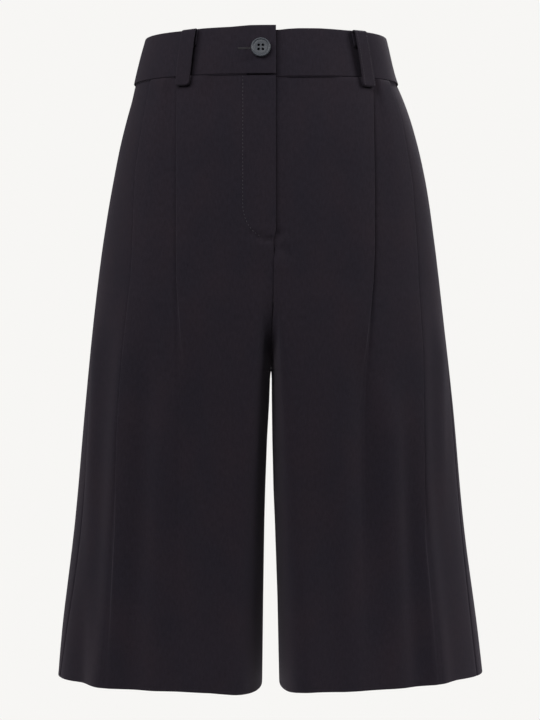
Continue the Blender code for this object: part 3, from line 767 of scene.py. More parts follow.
def band_out(section, side, lengths):
    """Where the middle of the band's wall lies at these lengths."""
    wave = np.sin(lengths / BAND_WAVE_RUN + BAND_WAVE_START[side])
    out = BAND_LIFT + BAND_WAVE * wave * math.cos(section.z / BAND_WAVE_RISE)
    if side == "left":
        x = section.flat(lengths)[:, 0]
        out -= BAND_TUCK * (1.0 - ease((x - TUCK_START) / (TUCK_END - TUCK_START)))
    return out


def travel_along(points):
    """Length from the first point of a line to each of its points."""
    steps = np.linalg.norm(np.diff(np.array(points), axis=0), axis=1)
    return np.concatenate([[0.0], np.cumsum(steps)])


def make_band(side):
    """One half of the waistband."""
    rows = []
    coordinates = []
    outline = band_profile()
    for (out, z), travel in zip(outline, travel_along(outline)):
        section = Section(side, z)
        lengths, shares = band_stations(section, side)
        points = section.place(lengths, band_out(section, side, lengths) + out * shares)
        points[:, 2] = z * (1.0 - BAND_END_SQUASH * (1.0 - shares))
        points[:, 2] += top_lift(points, side)
        if side == "left":
            points[:, 2] -= end_drop(points)
        rows.append(points)
        coordinates.append(beside(lengths, travel))
    return grid_mesh("waistband_" + side + "_cloth", rows, coordinates, True)


# Name, side and face of each belt loop, and its distance from x = 0 at its top and bottom.
LOOPS = (
    ("belt_loop_front_right", "right", "front", 71.5, 78.5),
    ("belt_loop_front_left", "left", "front", 79.3, 88.8),
    ("belt_loop_back_right", "right", "back", 70.0, 77.0),
    ("belt_loop_back_left", "left", "back", 66.0, 75.0),
    ("belt_loop_centre_back", "right", "back", 0.0, 0.0),
)
LOOP_WIDTH = 15.0
LOOP_WALL = 1.5
# How far out the loop's hidden part, its face at the top and bottom and its turned end lie.
LOOP_INNER = 3.2
LOOP_OUTER_TOP = 7.6
LOOP_OUTER_LOW = 6.5
LOOP_TURNED_END = 4.4
LOOP_BOTTOM = -31.0
LOOP_HIDDEN_ROWS = (6.0, 10.0, 14.0)
LOOP_FACE = ((7.75, 13.0), (7.7, 6.0), (7.5, -2.0), (7.15, -10.0), (6.7, -18.0))
LOOP_LOW_ROWS = (-24.0, -28.3, -29.0, -29.5)
LOOP_END_ROWS = (-27.0, -22.5)
STRAP_PLACES = (4.0, 1.3, -1.3, -4.0)
LOOP_STITCH_INSET = 1.9
LOOP_SWELL = 0.05
LOOP_CORNER = 2.6         # radius of the rounded lower corners


def loop_profile():
    """Middle line of a belt loop, from its tack up over the band and down, as (out, z)."""
    radius = (LOOP_OUTER_TOP - LOOP_INNER) / 2
    centre_z = BAND_TOP - LOOP_WALL / 2 - radius
    turn = (LOOP_OUTER_LOW - LOOP_TURNED_END) / 2
    profile = [(LOOP_INNER, z) for z in LOOP_HIDDEN_ROWS]
    profile += arc((LOOP_INNER + radius, centre_z), radius, 180, 0, 13)
    profile += LOOP_FACE
    profile += [(LOOP_OUTER_LOW, z) for z in LOOP_LOW_ROWS]
    profile += arc((LOOP_TURNED_END + turn, LOOP_BOTTOM + turn), turn, 0, -180, 9)
    return profile + [(LOOP_TURNED_END, z) for z in LOOP_END_ROWS]


def loop_frames(side, face, top, low):
    """(middle, direction across, direction out of the strap) along a belt loop."""
    spots = []
    across = []
    for out, z in loop_profile():
        section = Section(side, z)
        place = float(np.interp(z, (LOOP_BOTTOM, BAND_TOP), (low, top)))
        if face == "front":
            along = section.at_front_x(place)
        else:
            along = section.at_back_x(max(place, section.points[-1, 0]))
        near = np.array([along - 1.0, along, along + 1.0])
        three = finish_height(section.place(near, out), side)
        spots.append(three[1])
        run = three[2] - three[0] if top else np.array([1.0, 0.0, 0.0])
        across.append(run / np.linalg.norm(run))
    spots = np.array(spots)
    across = np.array(across)
    travel = np.gradient(spots, axis=0)
    travel /= np.linalg.norm(travel, axis=1, keepdims=True)
    away = np.cross(travel, across)
    away /= np.linalg.norm(away, axis=1, keepdims=True)
    return spots, across, away


def strap_outline():
    """Closed cross-section of the strap: two folded edges and a flat face."""
    half = LOOP_WIDTH / 2
    thick = LOOP_WALL / 2
    right = arc((half - thick, 0.0), thick, -90, 90, 7)
    left = arc((thick - half, 0.0), thick, 90, 270, 7)
    top = [(x, thick + LOOP_SWELL) for x in STRAP_PLACES]
    low = [(x, -thick) for x in reversed(STRAP_PLACES)]
    return right + top + left + low


def make_loop(name, side, face, top, low):
    """One belt loop as a swept strap."""
    spots, across, away = loop_frames(side, face, top, low)
    travel = travel_along(spots)
    heights = np.array([z for out, z in loop_profile()])
    near = np.clip((LOOP_BOTTOM + LOOP_CORNER - heights) / LOOP_CORNER, 0.0, 1.0)
    width = 1.0 - (1.0 - np.sqrt(1.0 - near ** 2)) * LOOP_CORNER / (LOOP_WIDTH / 2)
    outline = strap_outline()
    rows = [spots + across * (x * width)[:, None] + away * out for x, out in outline]
    coordinates = [beside(travel, girth)[:, ::-1] for girth in travel_along(outline)]
    return grid_mesh(name + "_strap", rows, coordinates, True)


# Button and buttonhole -------------------------------------------------------
BUTTON_X = -8.3
BUTTON_Z = 2.0
BUTTON_THICK = 3.0
BUTTON_LIFT = 0.35
BUTTON_HOLE_RADIUS = 1.25
BUTTON_HOLE_SPACING = 3.9
BUTTON_SIDES = 72
HOLE_SIDES = 24
BUTTON_HARD_EDGE = 38     # degrees past which an edge of the button stays sharp
# Half of the button's turned outline: (distance from its middle, height above its back).
BUTTON_PROFILE = (
    (0.0, 0.0), (6.0, 0.0), (8.0, 0.08), (8.7, 0.45), (9.0, 1.0), (9.0, 2.25), (8.88, 2.65),
    (8.62, 2.92), (8.25, 3.0), (7.85, 2.96), (7.5, 2.78), (7.28, 2.5), (7.1, 2.36),
    (6.8, 2.32), (6.3, 2.42), (5.2, 2.36), (3.6, 2.26), (1.8, 2.2), (0.0, 2.2),
)
BUTTONHOLE_START = -29.0
BUTTONHOLE_END = -15.5
BUTTONHOLE_Z = 1.6
LIP_LEVEL = 0.55          # of each sewn lip above or below the buttonhole's middle
LIP_LIFT = 0.06
LIP_PITCH = 0.55
LIP_STITCH = 0.5
LIP_THREAD = 0.75
# The slit is drawn as a thin near-black sheet: painted shadow in the opening.
SLIT_LEVEL = 0.28
SLIT_LIFT = 0.05
SLIT_WALL = 0.1
SLIT_STATIONS = 15


def band_frame(x, z, above):
    """Matrix of a place above the right band's face: local -Y is out, local Z is up."""

    def spot(across, level):
        section = Section("right", level)
        along = np.array([section.at_front_x(-across)])
        swell = BAND_SWELL * (1 - (level / BAND_TOP) ** 2)
        out = band_out(section, "right", along) + BAND_HALF + swell + above
        return section.place(along, out)[0]

    right = Vector(spot(x + 3.0, z) - spot(x - 3.0, z)).normalized()
    up = Vector(spot(x, z + 6.0) - spot(x, z - 6.0))
    up = (up - right * up.dot(right)).normalized()
    matrix = Matrix((right, up.cross(right), up)).transposed().to_4x4()
    matrix.translation = Vector(spot(x, z)) * MM
    return matrix


def make_button():
    """Turned button with a raised rim, a groove, a dished middle and four drilled holes."""
    shape = bmesh.new()
    ring = [shape.verts.new((x * MM, -y * MM, 0.0)) for x, y in BUTTON_PROFILE]
    edges = [shape.edges.new(pair) for pair in zip(ring, ring[1:])]
    bmesh.ops.spin(shape, geom=ring + edges, cent=(0, 0, 0), axis=(0, 1, 0),
                   angle=math.tau, steps=BUTTON_SIDES)
    bmesh.ops.remove_doubles(shape, verts=shape.verts, dist=1e-6)
    bmesh.ops.recalc_face_normals(shape, faces=shape.faces)
    button = add_piece("waist_button", mesh_of(shape, "waist_button"))

    drill = bmesh.new()
    half = BUTTON_HOLE_SPACING / 2
    turn = Matrix.Rotation(math.pi / 2, 4, "X")
    radius = BUTTON_HOLE_RADIUS * MM
    for x in (-half, half):
        for z in (-half, half):
            place = Matrix.Translation((x * MM, -BUTTON_THICK / 2 * MM, z * MM))
            bmesh.ops.create_cone(drill, cap_ends=True, segments=HOLE_SIDES, radius1=radius,
                                  radius2=radius, depth=3 * BUTTON_THICK * MM,
                                  matrix=place @ turn)
    cutter = add_piece("button_holes", mesh_of(drill, "button_holes"))
    cut = button.modifiers.new("holes", "BOOLEAN")
    cut.object = cutter
    cut.operation = "DIFFERENCE"
    bake(button)
    bpy.data.objects.remove(cutter, do_unlink=True)
    button.data.transform(band_frame(BUTTON_X, BUTTON_Z, BUTTON_LIFT))
    button.data.shade_smooth()
    button.data.set_sharp_from_angle(angle=math.radians(BUTTON_HARD_EDGE))
    return button


def buttonhole_lines():
    """A row of points in millimetres along each lip of the buttonhole."""
    return [[band_frame(x, BUTTONHOLE_Z + level, LIP_LIFT).translation / MM
             for x in np.arange(BUTTONHOLE_START, BUTTONHOLE_END, 1.0)]
            for level in (-LIP_LEVEL, LIP_LEVEL)]


def make_slit_shadow():
    """Near-black sheet between the lips of the buttonhole: painted shadow in its slit."""
    shape = bmesh.new()
    stations = np.linspace(BUTTONHOLE_START, BUTTONHOLE_END, SLIT_STATIONS)
    low, high = ([shape.verts.new(band_frame(x, BUTTONHOLE_Z + level, SLIT_LIFT).translation)
                  for x in stations] for level in (-SLIT_LEVEL, SLIT_LEVEL))
    for k in range(SLIT_STATIONS - 1):
        shape.faces.new((low[k], low[k + 1], high[k + 1], high[k]))
    slit = add_piece("buttonhole_slit_shadow", mesh_of(shape, "buttonhole_slit_shadow"))
    add_wall(slit, SLIT_WALL * MM)
    return slit


# Node trees ------------------------------------------------------------------
def fill(tree, node, inputs):
    """Set inputs of a node to values, or link them to sockets or to a node's first output."""
    for name, value in inputs.items():
        if isinstance(value, bpy.types.Node):
            value = value.outputs[0]
        if isinstance(value, bpy.types.NodeSocket):
            tree.links.new(value, node.inputs[name])
        else:
            node.inputs[name].default_value = value
    return node


def add_node(tree, kind, inputs=None, **settings):
    """New node with these settings and inputs."""
    node = tree.nodes.new(kind)
    for name, value in settings.items():
        setattr(node, name, value)
    return fill(tree, node, inputs or {})


def new_group(name, kind, inputs, outputs):
    """Node group with these sockets, and the outputs of its input node."""
    group = bpy.data.node_groups.new(name, kind)
    for label, socket_kind, default in inputs:
        socket = group.interface.new_socket(label, in_out="INPUT",
                                            socket_type="NodeSocket" + socket_kind)
        if default is not None:
            socket.default_value = default
    for label, socket_kind in outputs:
        group.interface.new_socket(label, in_out="OUTPUT",
                                   socket_type="NodeSocket" + socket_kind)
    return group, group.nodes.new("NodeGroupInput").outputs


# Sewing, by Geometry Nodes ---------------------------------------------------
FLY_STITCH_X = 25.0       # distance of the fly's stitching from x = 0, on the right side
FLY_STITCH_TOP = -24.5
FLY_STITCH_TURN = -142.0
FLY_STITCH_END = (0.5, -174.0)
FLY_STITCH_LIFT = 0.46
LOOP_STITCHED = slice(15, 25)   # the points of a loop's profile down its outer face
LOOP_STITCH_LIFT = 0.03
LOOP_STITCH_SHARE = 0.8   # of the fly's stitch and thread sizes


def stitch_tree():
    """Running stitches along the edges of a mesh: little thread beads, realized."""
    tree, given = new_group(
        "running_stitch", "GeometryNodeTree",
        (("Geometry", "Geometry", None), ("Pitch", "Float", 0.0036),
         ("Stitch Length", "Float", 0.0027), ("Thread", "Float", 0.0005),
         ("Finish", "Material", None)),
        (("Geometry", "Geometry"),))
    curve = add_node(tree, "GeometryNodeMeshToCurve", {"Mesh": given["Geometry"]})
    points = add_node(tree, "GeometryNodeCurveToPoints",
                      {"Curve": curve, "Length": given["Pitch"]}, mode="LENGTH")
    bead = add_node(tree, "GeometryNodeMeshUVSphere", {"Segments": 6, "Rings": 4, "Radius": 0.5})
    size = add_node(tree, "ShaderNodeCombineXYZ", {"X": given["Thread"], "Y": given["Thread"],
                                                   "Z": given["Stitch Length"]})
    place = add_node(tree, "GeometryNodeInstanceOnPoints",
                     {"Points": points, "Rotation": points.outputs["Rotation"],
                      "Instance": bead, "Scale": size})
    realize = add_node(tree, "GeometryNodeRealizeInstances", {"Geometry": place})
    smooth = add_node(tree, "GeometryNodeSetShadeSmooth", {"Geometry": realize})
    finish = add_node(tree, "GeometryNodeSetMaterial",
                      {"Geometry": smooth, "Material": given["Finish"]})
    add_node(tree, "NodeGroupOutput", {"Geometry": finish})
    return tree


def sew(name, lines, pitch, length, thread, material):
    """One piece of stitches along lines of points in millimetres."""
    tree = bpy.data.node_groups.get("running_stitch") or stitch_tree()
    vertices = []
    edges = []
    for line in lines:
        first = len(vertices)
        vertices += [tuple(np.asarray(point) * MM) for point in line]
        edges += [(first + k, first + k + 1) for k in range(len(line) - 1)]
    mesh = bpy.data.meshes.new(name)
    mesh.from_pydata(vertices, edges, [])
    piece = add_piece(name, mesh)
    stitches = piece.modifiers.new("stitches", "NODES")
    stitches.node_group = tree
    values = {"Pitch": pitch * MM, "Stitch Length": length * MM, "Thread": thread * MM,
              "Finish": material}
    for socket in tree.interface.items_tree:
        if socket.in_out == "INPUT" and socket.name in values:
            stitches[socket.identifier] = values[socket.name]
    bake(piece)
    if not piece.data.polygons:
        raise RuntimeError(name + " has no stitches")
    return piece


def on_front(side, x, z, out):
    """Point on a front panel's outer face."""
    section = Section(side, z)
    along = np.array([section.at_front_x(x)])
    bump = relief(side, "front", np.array([x]), z)
    return finish_height(section.place(along, bump + out), side)[0]


def fly_stitch_line():
    """The line of stitching that holds the fly, down and round to the fly's bottom."""
    flat = [(FLY_STITCH_X, z) for z in np.arange(FLY_STITCH_TOP, FLY_STITCH_TURN, -6.0)]
    end_x, end_z = FLY_STITCH_END
    for angle in np.linspace(0.0, math.pi / 2, 14):
        flat.append((end_x + (FLY_STITCH_X - end_x) * math.cos(angle),
                     FLY_STITCH_TURN + (end_z - FLY_STITCH_TURN) * math.sin(angle)))
    return [on_front("right", x, z, FLY_STITCH_LIFT) for x, z in flat]


def loop_stitch_lines(side, face, top, low):
    """Two rows of stitching along a belt loop's outer face."""
    spots, across, away = loop_frames(side, face, top, low)
    inset = LOOP_WIDTH / 2 - LOOP_STITCH_INSET
    lift = LOOP_WALL / 2 + LOOP_STITCH_LIFT
    return [list((spots + across * s * inset + away * lift)[LOOP_STITCHED]) for s in (-1, 1)]


# Materials -------------------------------------------------------------------
MELANGE = 0.6             # how far the yarns' shades differ
COOL_TINT = (0.84, 0.98, 1.08)
WARM_TINT = (1.16, 1.00, 0.96)
SHEEN_TINT = (0.95, 0.84, 1.0)
# Near-black colour of the buttonhole's slit: painted shadow, not the cloth's colour.
SLIT_SHADOW_COLOUR = (0.002, 0.002, 0.002)
TAPE_COLOUR = (0.012, 0.012, 0.014)
METAL_COLOUR = (0.10, 0.10, 0.11)


def opaque(colour, gain=1.0):
    """Colour as a node's socket takes it, made lighter or darker."""
    return (*[c * gain for c in colour], 1.0)


def new_material(name):
    """Material, its node tree and its shader."""
    material = bpy.data.materials.new(name)
    material.use_nodes = True
    return material, material.node_tree, material.node_tree.nodes["Principled BSDF"]


def mix_colours(tree, factor, first, second, blend="MIX"):
    """Socket of a colour between two others, or of their product."""
    mix = add_node(tree, "ShaderNodeMix", {"Factor": factor, "A": first, "B": second},
                   data_type="RGBA", blend_type=blend)
    return mix.outputs["Result"]


def weave_group():
    """Fine twill: cloth coordinates in metres to a shade, a height and slow clouds."""
    group, given = new_group(
        "suiting_weave", "ShaderNodeTree",
        (("Cloth", "Vector", None), ("Yarn", "Float", 0.00045), ("Melange", "Float", 1.0)),
        (("Shade", "Float"), ("Height", "Float"), ("Cloud", "Float")))

    def maths(operation, *values):
        return add_node(group, "ShaderNodeMath", dict(enumerate(values)),
                        operation=operation).outputs[0]

    def noise(stretch, scale, detail):
        mapping = add_node(group, "ShaderNodeMapping", {"Vector": given["Cloth"],
                                                        "Scale": stretch})
        texture = add_node(group, "ShaderNodeTexNoise", {"Vector": mapping, "Scale": scale,
                                                         "Detail": detail})
        return texture.outputs["Fac"]

    split = add_node(group, "ShaderNodeSeparateXYZ", {0: given["Cloth"]})
    u = maths("DIVIDE", split.outputs["X"], given["Yarn"])
    v = maths("DIVIDE", split.outputs["Y"], given["Yarn"])
    slope = maths("ADD", u, maths("MULTIPLY", v, 0.5))
    diagonal = maths("SINE", maths("MULTIPLY", slope, math.pi))
    warp = maths("SINE", maths("MULTIPLY", u, math.tau))
    rib = maths("ADD", maths("MULTIPLY", diagonal, 0.6), maths("MULTIPLY", warp, 0.4))
    slub = noise((1.0, 0.12, 1.0), 1400.0, 2.0)
    speck = noise((1.0, 1.0, 1.0), 900.0, 3.0)
    fleck = noise((1.0, 0.45, 1.0), 420.0, 2.0)
    cloud = noise((1.0, 0.6, 1.0), 26.0, 3.0)
    mottle = None
    for value, gain in ((slub, 1.1), (speck, 1.3), (cloud, 0.5), (fleck, 1.1)):
        part = maths("MULTIPLY", maths("SUBTRACT", value, 0.5), gain)
        mottle = maths("ADD", mottle, part) if mottle else part
    mottle = maths("MULTIPLY", mottle, given["Melange"])
    add_node(group, "NodeGroupOutput", {
        "Shade": maths("ADD", maths("ADD", 0.5, mottle), maths("MULTIPLY", rib, 0.10)),
        "Height": maths("ADD", maths("MULTIPLY", rib, 0.5), maths("MULTIPLY", slub, 0.7)),
        "Cloud": cloud})
    return group


def cloth_material(name, dark, light, yarn):
    """Matte suiting with a soft warm sheen."""
    material, tree, shader = new_material(name)
    weave = add_node(tree, "ShaderNodeGroup",
                     node_tree=bpy.data.node_groups.get("suiting_weave") or weave_group())
    fill(tree, weave, {"Cloth": add_node(tree, "ShaderNodeUVMap", uv_map="cloth"),
                       "Yarn": yarn, "Melange": MELANGE})
    yarns = mix_colours(tree, weave.outputs["Shade"], opaque(dark), opaque(light))
    tint = mix_colours(tree, weave.outputs["Cloud"], opaque(COOL_TINT), opaque(WARM_TINT))
    bump = add_node(tree, "ShaderNodeBump", {"Height": weave.outputs["Height"],
                                             "Strength": 0.35, "Distance": 0.00012})
    fill(tree, shader, {"Base Color": mix_colours(tree, 1.0, yarns, tint, "MULTIPLY"),
                        "Normal": bump, "Roughness": 0.86, "Specular IOR Level": 0.08,
                        "Sheen Weight": 0.06, "Sheen Roughness": 0.45,
                        "Sheen Tint": opaque(SHEEN_TINT)})
    return material


def plain_material(name, colour, roughness, metallic=0.0, grain=0.0, shine=0.5):
    """Hard or thread material with a faint mottle."""
    material, tree, shader = new_material(name)
    place = add_node(tree, "ShaderNodeTexCoord")
    texture = add_node(tree, "ShaderNodeTexNoise", {"Vector": place.outputs["Object"],
                                                    "Scale": 900.0, "Detail": 4.0})
    mottle = texture.outputs["Fac"]
    bump = add_node(tree, "ShaderNodeBump", {"Height": mottle, "Strength": 0.15,
                                             "Distance": 0.0001})
    mixed = mix_colours(tree, mottle, opaque(colour, 1.0 - grain), opaque(colour, 1.0 + grain))
    fill(tree, shader, {"Base Color": mixed, "Normal": bump, "Roughness": roughness,
                        "Metallic": metallic, "Specular IOR Level": shine})
    return material


def finish_of(kind):
    """The material of this kind, made once from the panel's colours."""
    colours = bpy.context.scene.shorts_colours
    material = bpy.data.materials.get(kind)
    if material:
        return material
    if kind == "suiting_twill":
        return cloth_material(kind, colours.suiting_dark, colours.suiting_light,
                              bpy.context.scene.shorts_cloth.yarn)
    if kind == "sewing_thread":
        return plain_material(kind, colours.thread, roughness=0.6, grain=0.2)
    if kind == "slit_shadow":
        return plain_material(kind, SLIT_SHADOW_COLOUR, roughness=0.9)
    if kind == "button_horn":
        return plain_material(kind, colours.button, roughness=0.42, grain=0.12, shine=0.25)
    if kind == "zip_tape_weave":
        return plain_material(kind, TAPE_COLOUR, roughness=0.85, grain=0.3)
    return plain_material(kind, METAL_COLOUR, roughness=0.35, metallic=1.0, grain=0.1)


# Stage -----------------------------------------------------------------------
FLOOR_Z = -0.76
FLOOR_RADIUS = 0.62
FLOOR_FADE = 0.25         # distance from its middle at which the floor begins to fade
LIGHT_AIM = (0.0, 0.0, -0.28)
FRONT_LIGHT_AIM = (0.0, 0.0, -0.1)


def make_camera(stage):
    """Camera level with the middle of the shorts."""
    camera = add_piece("camera", bpy.data.cameras.new("camera"))
    camera.data.sensor_width = 36.0
    camera.data.lens = stage.lens
    camera.data.clip_end = 50.0
    camera.location = (0.0, -stage.distance, stage.height)
    camera.rotation_euler = (math.pi / 2, 0.0, 0.0)
    bpy.context.scene.camera = camera


def make_light(name, place, power, aim=LIGHT_AIM, size=1.0):
    """Square soft light that faces a point."""
    light = bpy.data.lights.new(name, "AREA")
    light.shape = "SQUARE"
    light.size = size
    light.energy = power
    lamp = add_piece(name, light)
    lamp.location = place
    lamp.rotation_euler = (Vector(aim) - Vector(place)).to_track_quat("-Z", "Y").to_euler()


def make_world(colour, strength, low, high):
    """Even pale surroundings, whose light on the shorts grows from below to above."""
    world = bpy.data.worlds.new("pale_room")
    world.use_nodes = True
    tree = world.node_tree
    place = add_node(tree, "ShaderNodeTexCoord")
    split = add_node(tree, "ShaderNodeSeparateXYZ", {"Vector": place.outputs["Generated"]})
    height = add_node(tree, "ShaderNodeMapRange", {
        "Value": split.outputs["Z"], "From Min": -1.0, "From Max": 1.0,
        "To Min": low, "To Max": high})
    path = add_node(tree, "ShaderNodeLightPath")
    mix = add_node(tree, "ShaderNodeMix", {"Factor": path.outputs["Is Camera Ray"],
                                           "A": height, "B": strength}, data_type="FLOAT")
    fill(tree, tree.nodes["Background"], {"Color": opaque(colour),
                                          "Strength": mix.outputs["Result"]})
    bpy.context.scene.world = world


def floor_material(colour):
    """Pale floor that fades into the surroundings away from its middle."""
    material, tree, shader = new_material("pale_floor")
    place = add_node(tree, "ShaderNodeTexCoord")
    flat = add_node(tree, "ShaderNodeVectorMath",
                    {0: place.outputs["Object"], 1: (1.0, 1.0, 0.0)}, operation="MULTIPLY")
    length = add_node(tree, "ShaderNodeVectorMath", {0: flat}, operation="LENGTH")
    fade = add_node(tree, "ShaderNodeMapRange", {
        "Value": length.outputs["Value"], "From Min": FLOOR_FADE, "From Max": FLOOR_RADIUS,
        "To Min": 1.0, "To Max": 0.0}, interpolation_type="SMOOTHSTEP")
    fill(tree, shader, {"Base Color": opaque(colour), "Roughness": 0.9,
                        "Specular IOR Level": 0.1, "Alpha": fade})
    return material


def make_floor(colour):
    """Round pale floor under the shorts."""
    shape = bmesh.new()
    bmesh.ops.create_circle(shape, cap_ends=True, segments=96, radius=FLOOR_RADIUS,
                            matrix=Matrix.Translation((0.0, 0.0, FLOOR_Z)))
    mesh = mesh_of(shape, "floor")
    mesh.materials.append(floor_material(colour))
    floor = add_piece("floor", mesh)


# Sizes and colours that a user would change ---------------------------------
COLOUR = {"subtype": "COLOR", "size": 3, "min": 0.0, "max": 1.0}
FINE_LENGTH = {"unit": "LENGTH", "precision": 5}
LENGTH = {"unit": "LENGTH"}
POWER = {"unit": "POWER", "min": 0.0, "max": 500.0}
BRIGHTNESS = {"min": 0.0, "max": 5.0}


class ShortsCloth(bpy.types.PropertyGroup):
    """Thickness and yarn of the cloth."""

    wall: FloatProperty(
        name="Cloth thickness", description="Thickness of the panels' suiting",
        default=0.0008, min=0.0004, max=0.0012, **FINE_LENGTH)
    yarn: FloatProperty(
        name="Yarn", description="Width of one yarn of the twill",
        default=0.00045, min=0.0002, max=0.002, **FINE_LENGTH)


class ShortsColours(bpy.types.PropertyGroup):
    """Colours of cloth, thread, button and surroundings."""

    suiting_dark: FloatVectorProperty(
        name="Suiting, dark yarns", description="Colour of the darker yarns",
        default=(0.0074, 0.0058, 0.0084), **COLOUR)
    suiting_light: FloatVectorProperty(
        name="Suiting, light yarns", description="Colour of the lighter yarns",
        default=(0.0180, 0.0144, 0.0200), **COLOUR)
    thread: FloatVectorProperty(
        name="Thread", description="Colour of the sewing thread",
        default=(0.034, 0.030, 0.035), **COLOUR)
    button: FloatVectorProperty(
        name="Button", description="Colour of the waist button",
        default=(0.036, 0.040, 0.048), **COLOUR)
    room: FloatVectorProperty(
        name="Surroundings", description="Colour of the pale surroundings",
        default=(0.930, 0.922, 0.905), **COLOUR)


class ShortsSewing(bpy.types.PropertyGroup):
    """Sizes of the stitches."""

    pitch: FloatProperty(
        name="Stitch pitch", description="Distance from one stitch to the next",
        default=0.0034, min=0.001, max=0.01, **FINE_LENGTH)
    length: FloatProperty(
        name="Stitch length", description="Length of the thread that shows in one stitch",
        default=0.0018, min=0.0005, max=0.01, **FINE_LENGTH)
    thread: FloatProperty(
        name="Thread thickness", description="Thickness of the sewing thread",
        default=0.00038, min=0.0001, max=0.001, **FINE_LENGTH)


class ShortsStage(bpy.types.PropertyGroup):
    """Camera and lights."""

    lens: FloatProperty(name="Lens", description="Focal length in millimetres",
                        default=119.8, min=20.0, max=300.0)
    distance: FloatProperty(name="Camera distance", description="From the camera to the middle",
                            default=2.3, min=0.5, max=10.0, **LENGTH)
    height: FloatProperty(name="Camera height", description="Height of the camera",
                          default=-0.2855, min=-1.0, max=2.0, **LENGTH)
    room_light: FloatProperty(name="Room light", description="Brightness of the surroundings",
                              default=1.0, **BRIGHTNESS)
    low_light: FloatProperty(name="Light from below", description="Fill light from below",
                             default=0.10, **BRIGHTNESS)
    high_light: FloatProperty(name="Light from above", description="Fill light from above",
                              default=0.40, **BRIGHTNESS)
    side_light: FloatProperty(name="Side lights", description="Power of each side light",
                              default=26.0, **POWER)
    back_light: FloatProperty(name="Back light", description="Power of the light behind",
                              default=75.0, **POWER)
    front_light: FloatProperty(name="Front light", description="Power of the front light",
                               default=15.0, **POWER)


# Making, one operator for each kind of piece ---------------------------------
LEG_MIDDLE = 0.09         # distance of a leg's middle from x = 0, in metres
RIGHT_LIGHT_GAIN = 1.5


def dress(piece, node, material, body="root"):
    """Give a piece its finish and its body, and hide the solid that it stands for."""
    piece.data.materials.clear()
    piece.data.materials.append(material)
    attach(piece, body)
    if node:
        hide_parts(node)


class SHORTS_OT_panels(bpy.types.Operator):
    """Make the two pleated front panels and the two back panels."""

    bl_idname = "shorts.panels"
    bl_label = "Panels"

    def execute(self, context):
        for face in ("front", "back"):
            for side, middle in (("right", -LEG_MIDDLE), ("left", LEG_MIDDLE)):
                name = face + "_" + side
                piece = grid_mesh(name + "_cloth", *cloth_grid(side, face))
                turn_out(piece, middle)
                add_wall(piece, context.scene.shorts_cloth.wall)
                dress(piece, name, finish_of("suiting_twill"))
        return {"FINISHED"}


class SHORTS_OT_waistband(bpy.types.Operator):
    """Make the two halves of the waistband."""

    bl_idname = "shorts.waistband"
    bl_label = "Waistband"

    def execute(self, context):
        for side in ("right", "left"):
            dress(make_band(side), "waistband_" + side, finish_of("suiting_twill"))
        return {"FINISHED"}


class SHORTS_OT_belt_loops(bpy.types.Operator):
    """Make the five belt loops."""

    bl_idname = "shorts.belt_loops"
    bl_label = "Belt loops"

    def execute(self, context):
        for loop in LOOPS:
            dress(make_loop(*loop), loop[0], finish_of("suiting_twill"))
        return {"FINISHED"}


class SHORTS_OT_button(bpy.types.Operator):
    """Make the waist button."""

    bl_idname = "shorts.button"
    bl_label = "Waist button"

    def execute(self, context):
        dress(make_button(), "button", finish_of("button_horn"))
        return {"FINISHED"}


class SHORTS_OT_zip(bpy.types.Operator):
    """Finish the zip's tape, coil and slider."""

    bl_idname = "shorts.zip"
    bl_label = "Fly zip"

    def execute(self, context):
        for node, kind in (("zip_tape", "zip_tape_weave"), ("zip_coil", "zip_grey_metal"),
                           ("zip_slider", "zip_grey_metal")):
            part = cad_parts[node]
            part.data.materials.clear()
            part.data.materials.append(finish_of(kind))
        return {"FINISHED"}


class SHORTS_OT_sewing(bpy.types.Operator):
    """Sew the fly, the belt loops and the buttonhole."""

    bl_idname = "shorts.sewing"
    bl_label = "Sewing"

    def execute(self, context):
        sewing = context.scene.shorts_sewing
        thread = finish_of("sewing_thread")
        full = [size / MM for size in (sewing.pitch, sewing.length, sewing.thread)]
        small = [size * LOOP_STITCH_SHARE for size in full]
        seams = [("fly_stitching", [fly_stitch_line()], full)]
        seams += [(name + "_stitching", loop_stitch_lines(*place), small)
                  for name, *place in LOOPS]
        seams.append(("buttonhole_stitching", buttonhole_lines(),
                      (LIP_PITCH, LIP_STITCH, LIP_THREAD)))
        for name, lines, sizes in seams:
            dress(sew(name, lines, *sizes, thread), None, thread)
        # The buttonhole's slit is a near-black sheet of painted shadow.
        dress(make_slit_shadow(), None, finish_of("slit_shadow"))
        return {"FINISHED"}


class SHORTS_OT_cuts(bpy.types.Operator):
    bl_idname = "shorts.cuts"
    bl_label = "Flat cuts"

    def execute(self, context):
        going_with = {"front_right": ["fly_stitching"], "waistband_left": [],
                      "waistband_right": ["buttonhole_stitching", "buttonhole_slit_shadow"]}
        for name, side, *place in LOOPS:
            going_with["waistband_" + side] += [name + "_strap", name + "_stitching"]
        return {"FINISHED"}


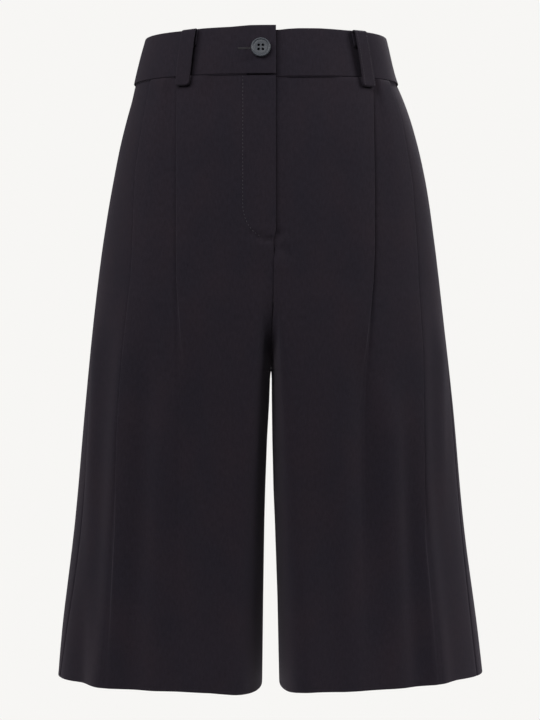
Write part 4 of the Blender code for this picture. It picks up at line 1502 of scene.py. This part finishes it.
class SHORTS_OT_stage(bpy.types.Operator):
    """Set up the camera, the lights, the surroundings and the floor."""

    bl_idname = "shorts.stage"
    bl_label = "Stage"

    def execute(self, context):
        stage = context.scene.shorts_stage
        colours = context.scene.shorts_colours
        context.scene.view_settings.view_transform = "Standard"
        make_camera(stage)
        make_world(colours.room, stage.room_light, stage.low_light, stage.high_light)
        make_floor(colours.room)
        make_light("left_light", (-1.5, -1.0, 0.85), stage.side_light)
        make_light("right_light", (1.8, -0.5, 0.75), RIGHT_LIGHT_GAIN * stage.side_light)
        make_light("back_light", (0.5, 1.8, 1.6), stage.back_light)
        make_light("front_light", (-0.5, -1.3, 0.95), stage.front_light, FRONT_LIGHT_AIM, 0.7)
        return {"FINISHED"}


class SHORTS_PT_shorts(bpy.types.Panel):
    """Sizes, colours and making of the shorts."""

    bl_idname = "SHORTS_PT_shorts"
    bl_label = "Bermuda shorts"
    bl_space_type = "VIEW_3D"
    bl_region_type = "UI"
    bl_category = "Shorts"

    def draw(self, context):
        for group in (context.scene.shorts_cloth, context.scene.shorts_colours,
                      context.scene.shorts_sewing, context.scene.shorts_stage):
            box = self.layout.box()
            for name in group.__annotations__:
                box.prop(group, name)
        for maker in MAKERS:
            self.layout.operator(maker.bl_idname)


GROUPS = {
    "shorts_cloth": ShortsCloth,
    "shorts_colours": ShortsColours,
    "shorts_sewing": ShortsSewing,
    "shorts_stage": ShortsStage,
}
MAKERS = (
    SHORTS_OT_panels,
    SHORTS_OT_waistband,
    SHORTS_OT_belt_loops,
    SHORTS_OT_button,
    SHORTS_OT_zip,
    SHORTS_OT_sewing,
    SHORTS_OT_cuts,
    SHORTS_OT_stage,
)


def register():
    """Add the property groups, the operators and the panel."""
    for name, group in GROUPS.items():
        bpy.utils.register_class(group)
        setattr(bpy.types.Scene, name, PointerProperty(type=group))
    for maker in MAKERS:
        bpy.utils.register_class(maker)
    bpy.utils.register_class(SHORTS_PT_shorts)


def unregister():
    """Take them away again."""
    bpy.utils.unregister_class(SHORTS_PT_shorts)
    for maker in reversed(MAKERS):
        bpy.utils.unregister_class(maker)
    for name, group in GROUPS.items():
        delattr(bpy.types.Scene, name)
        bpy.utils.unregister_class(group)


def main():
    """Make the shorts."""
    register()
    for maker in MAKERS:
        group, name = maker.bl_idname.split(".")
        getattr(getattr(bpy.ops, group), name)()


if __name__ == "__main__":
    main()
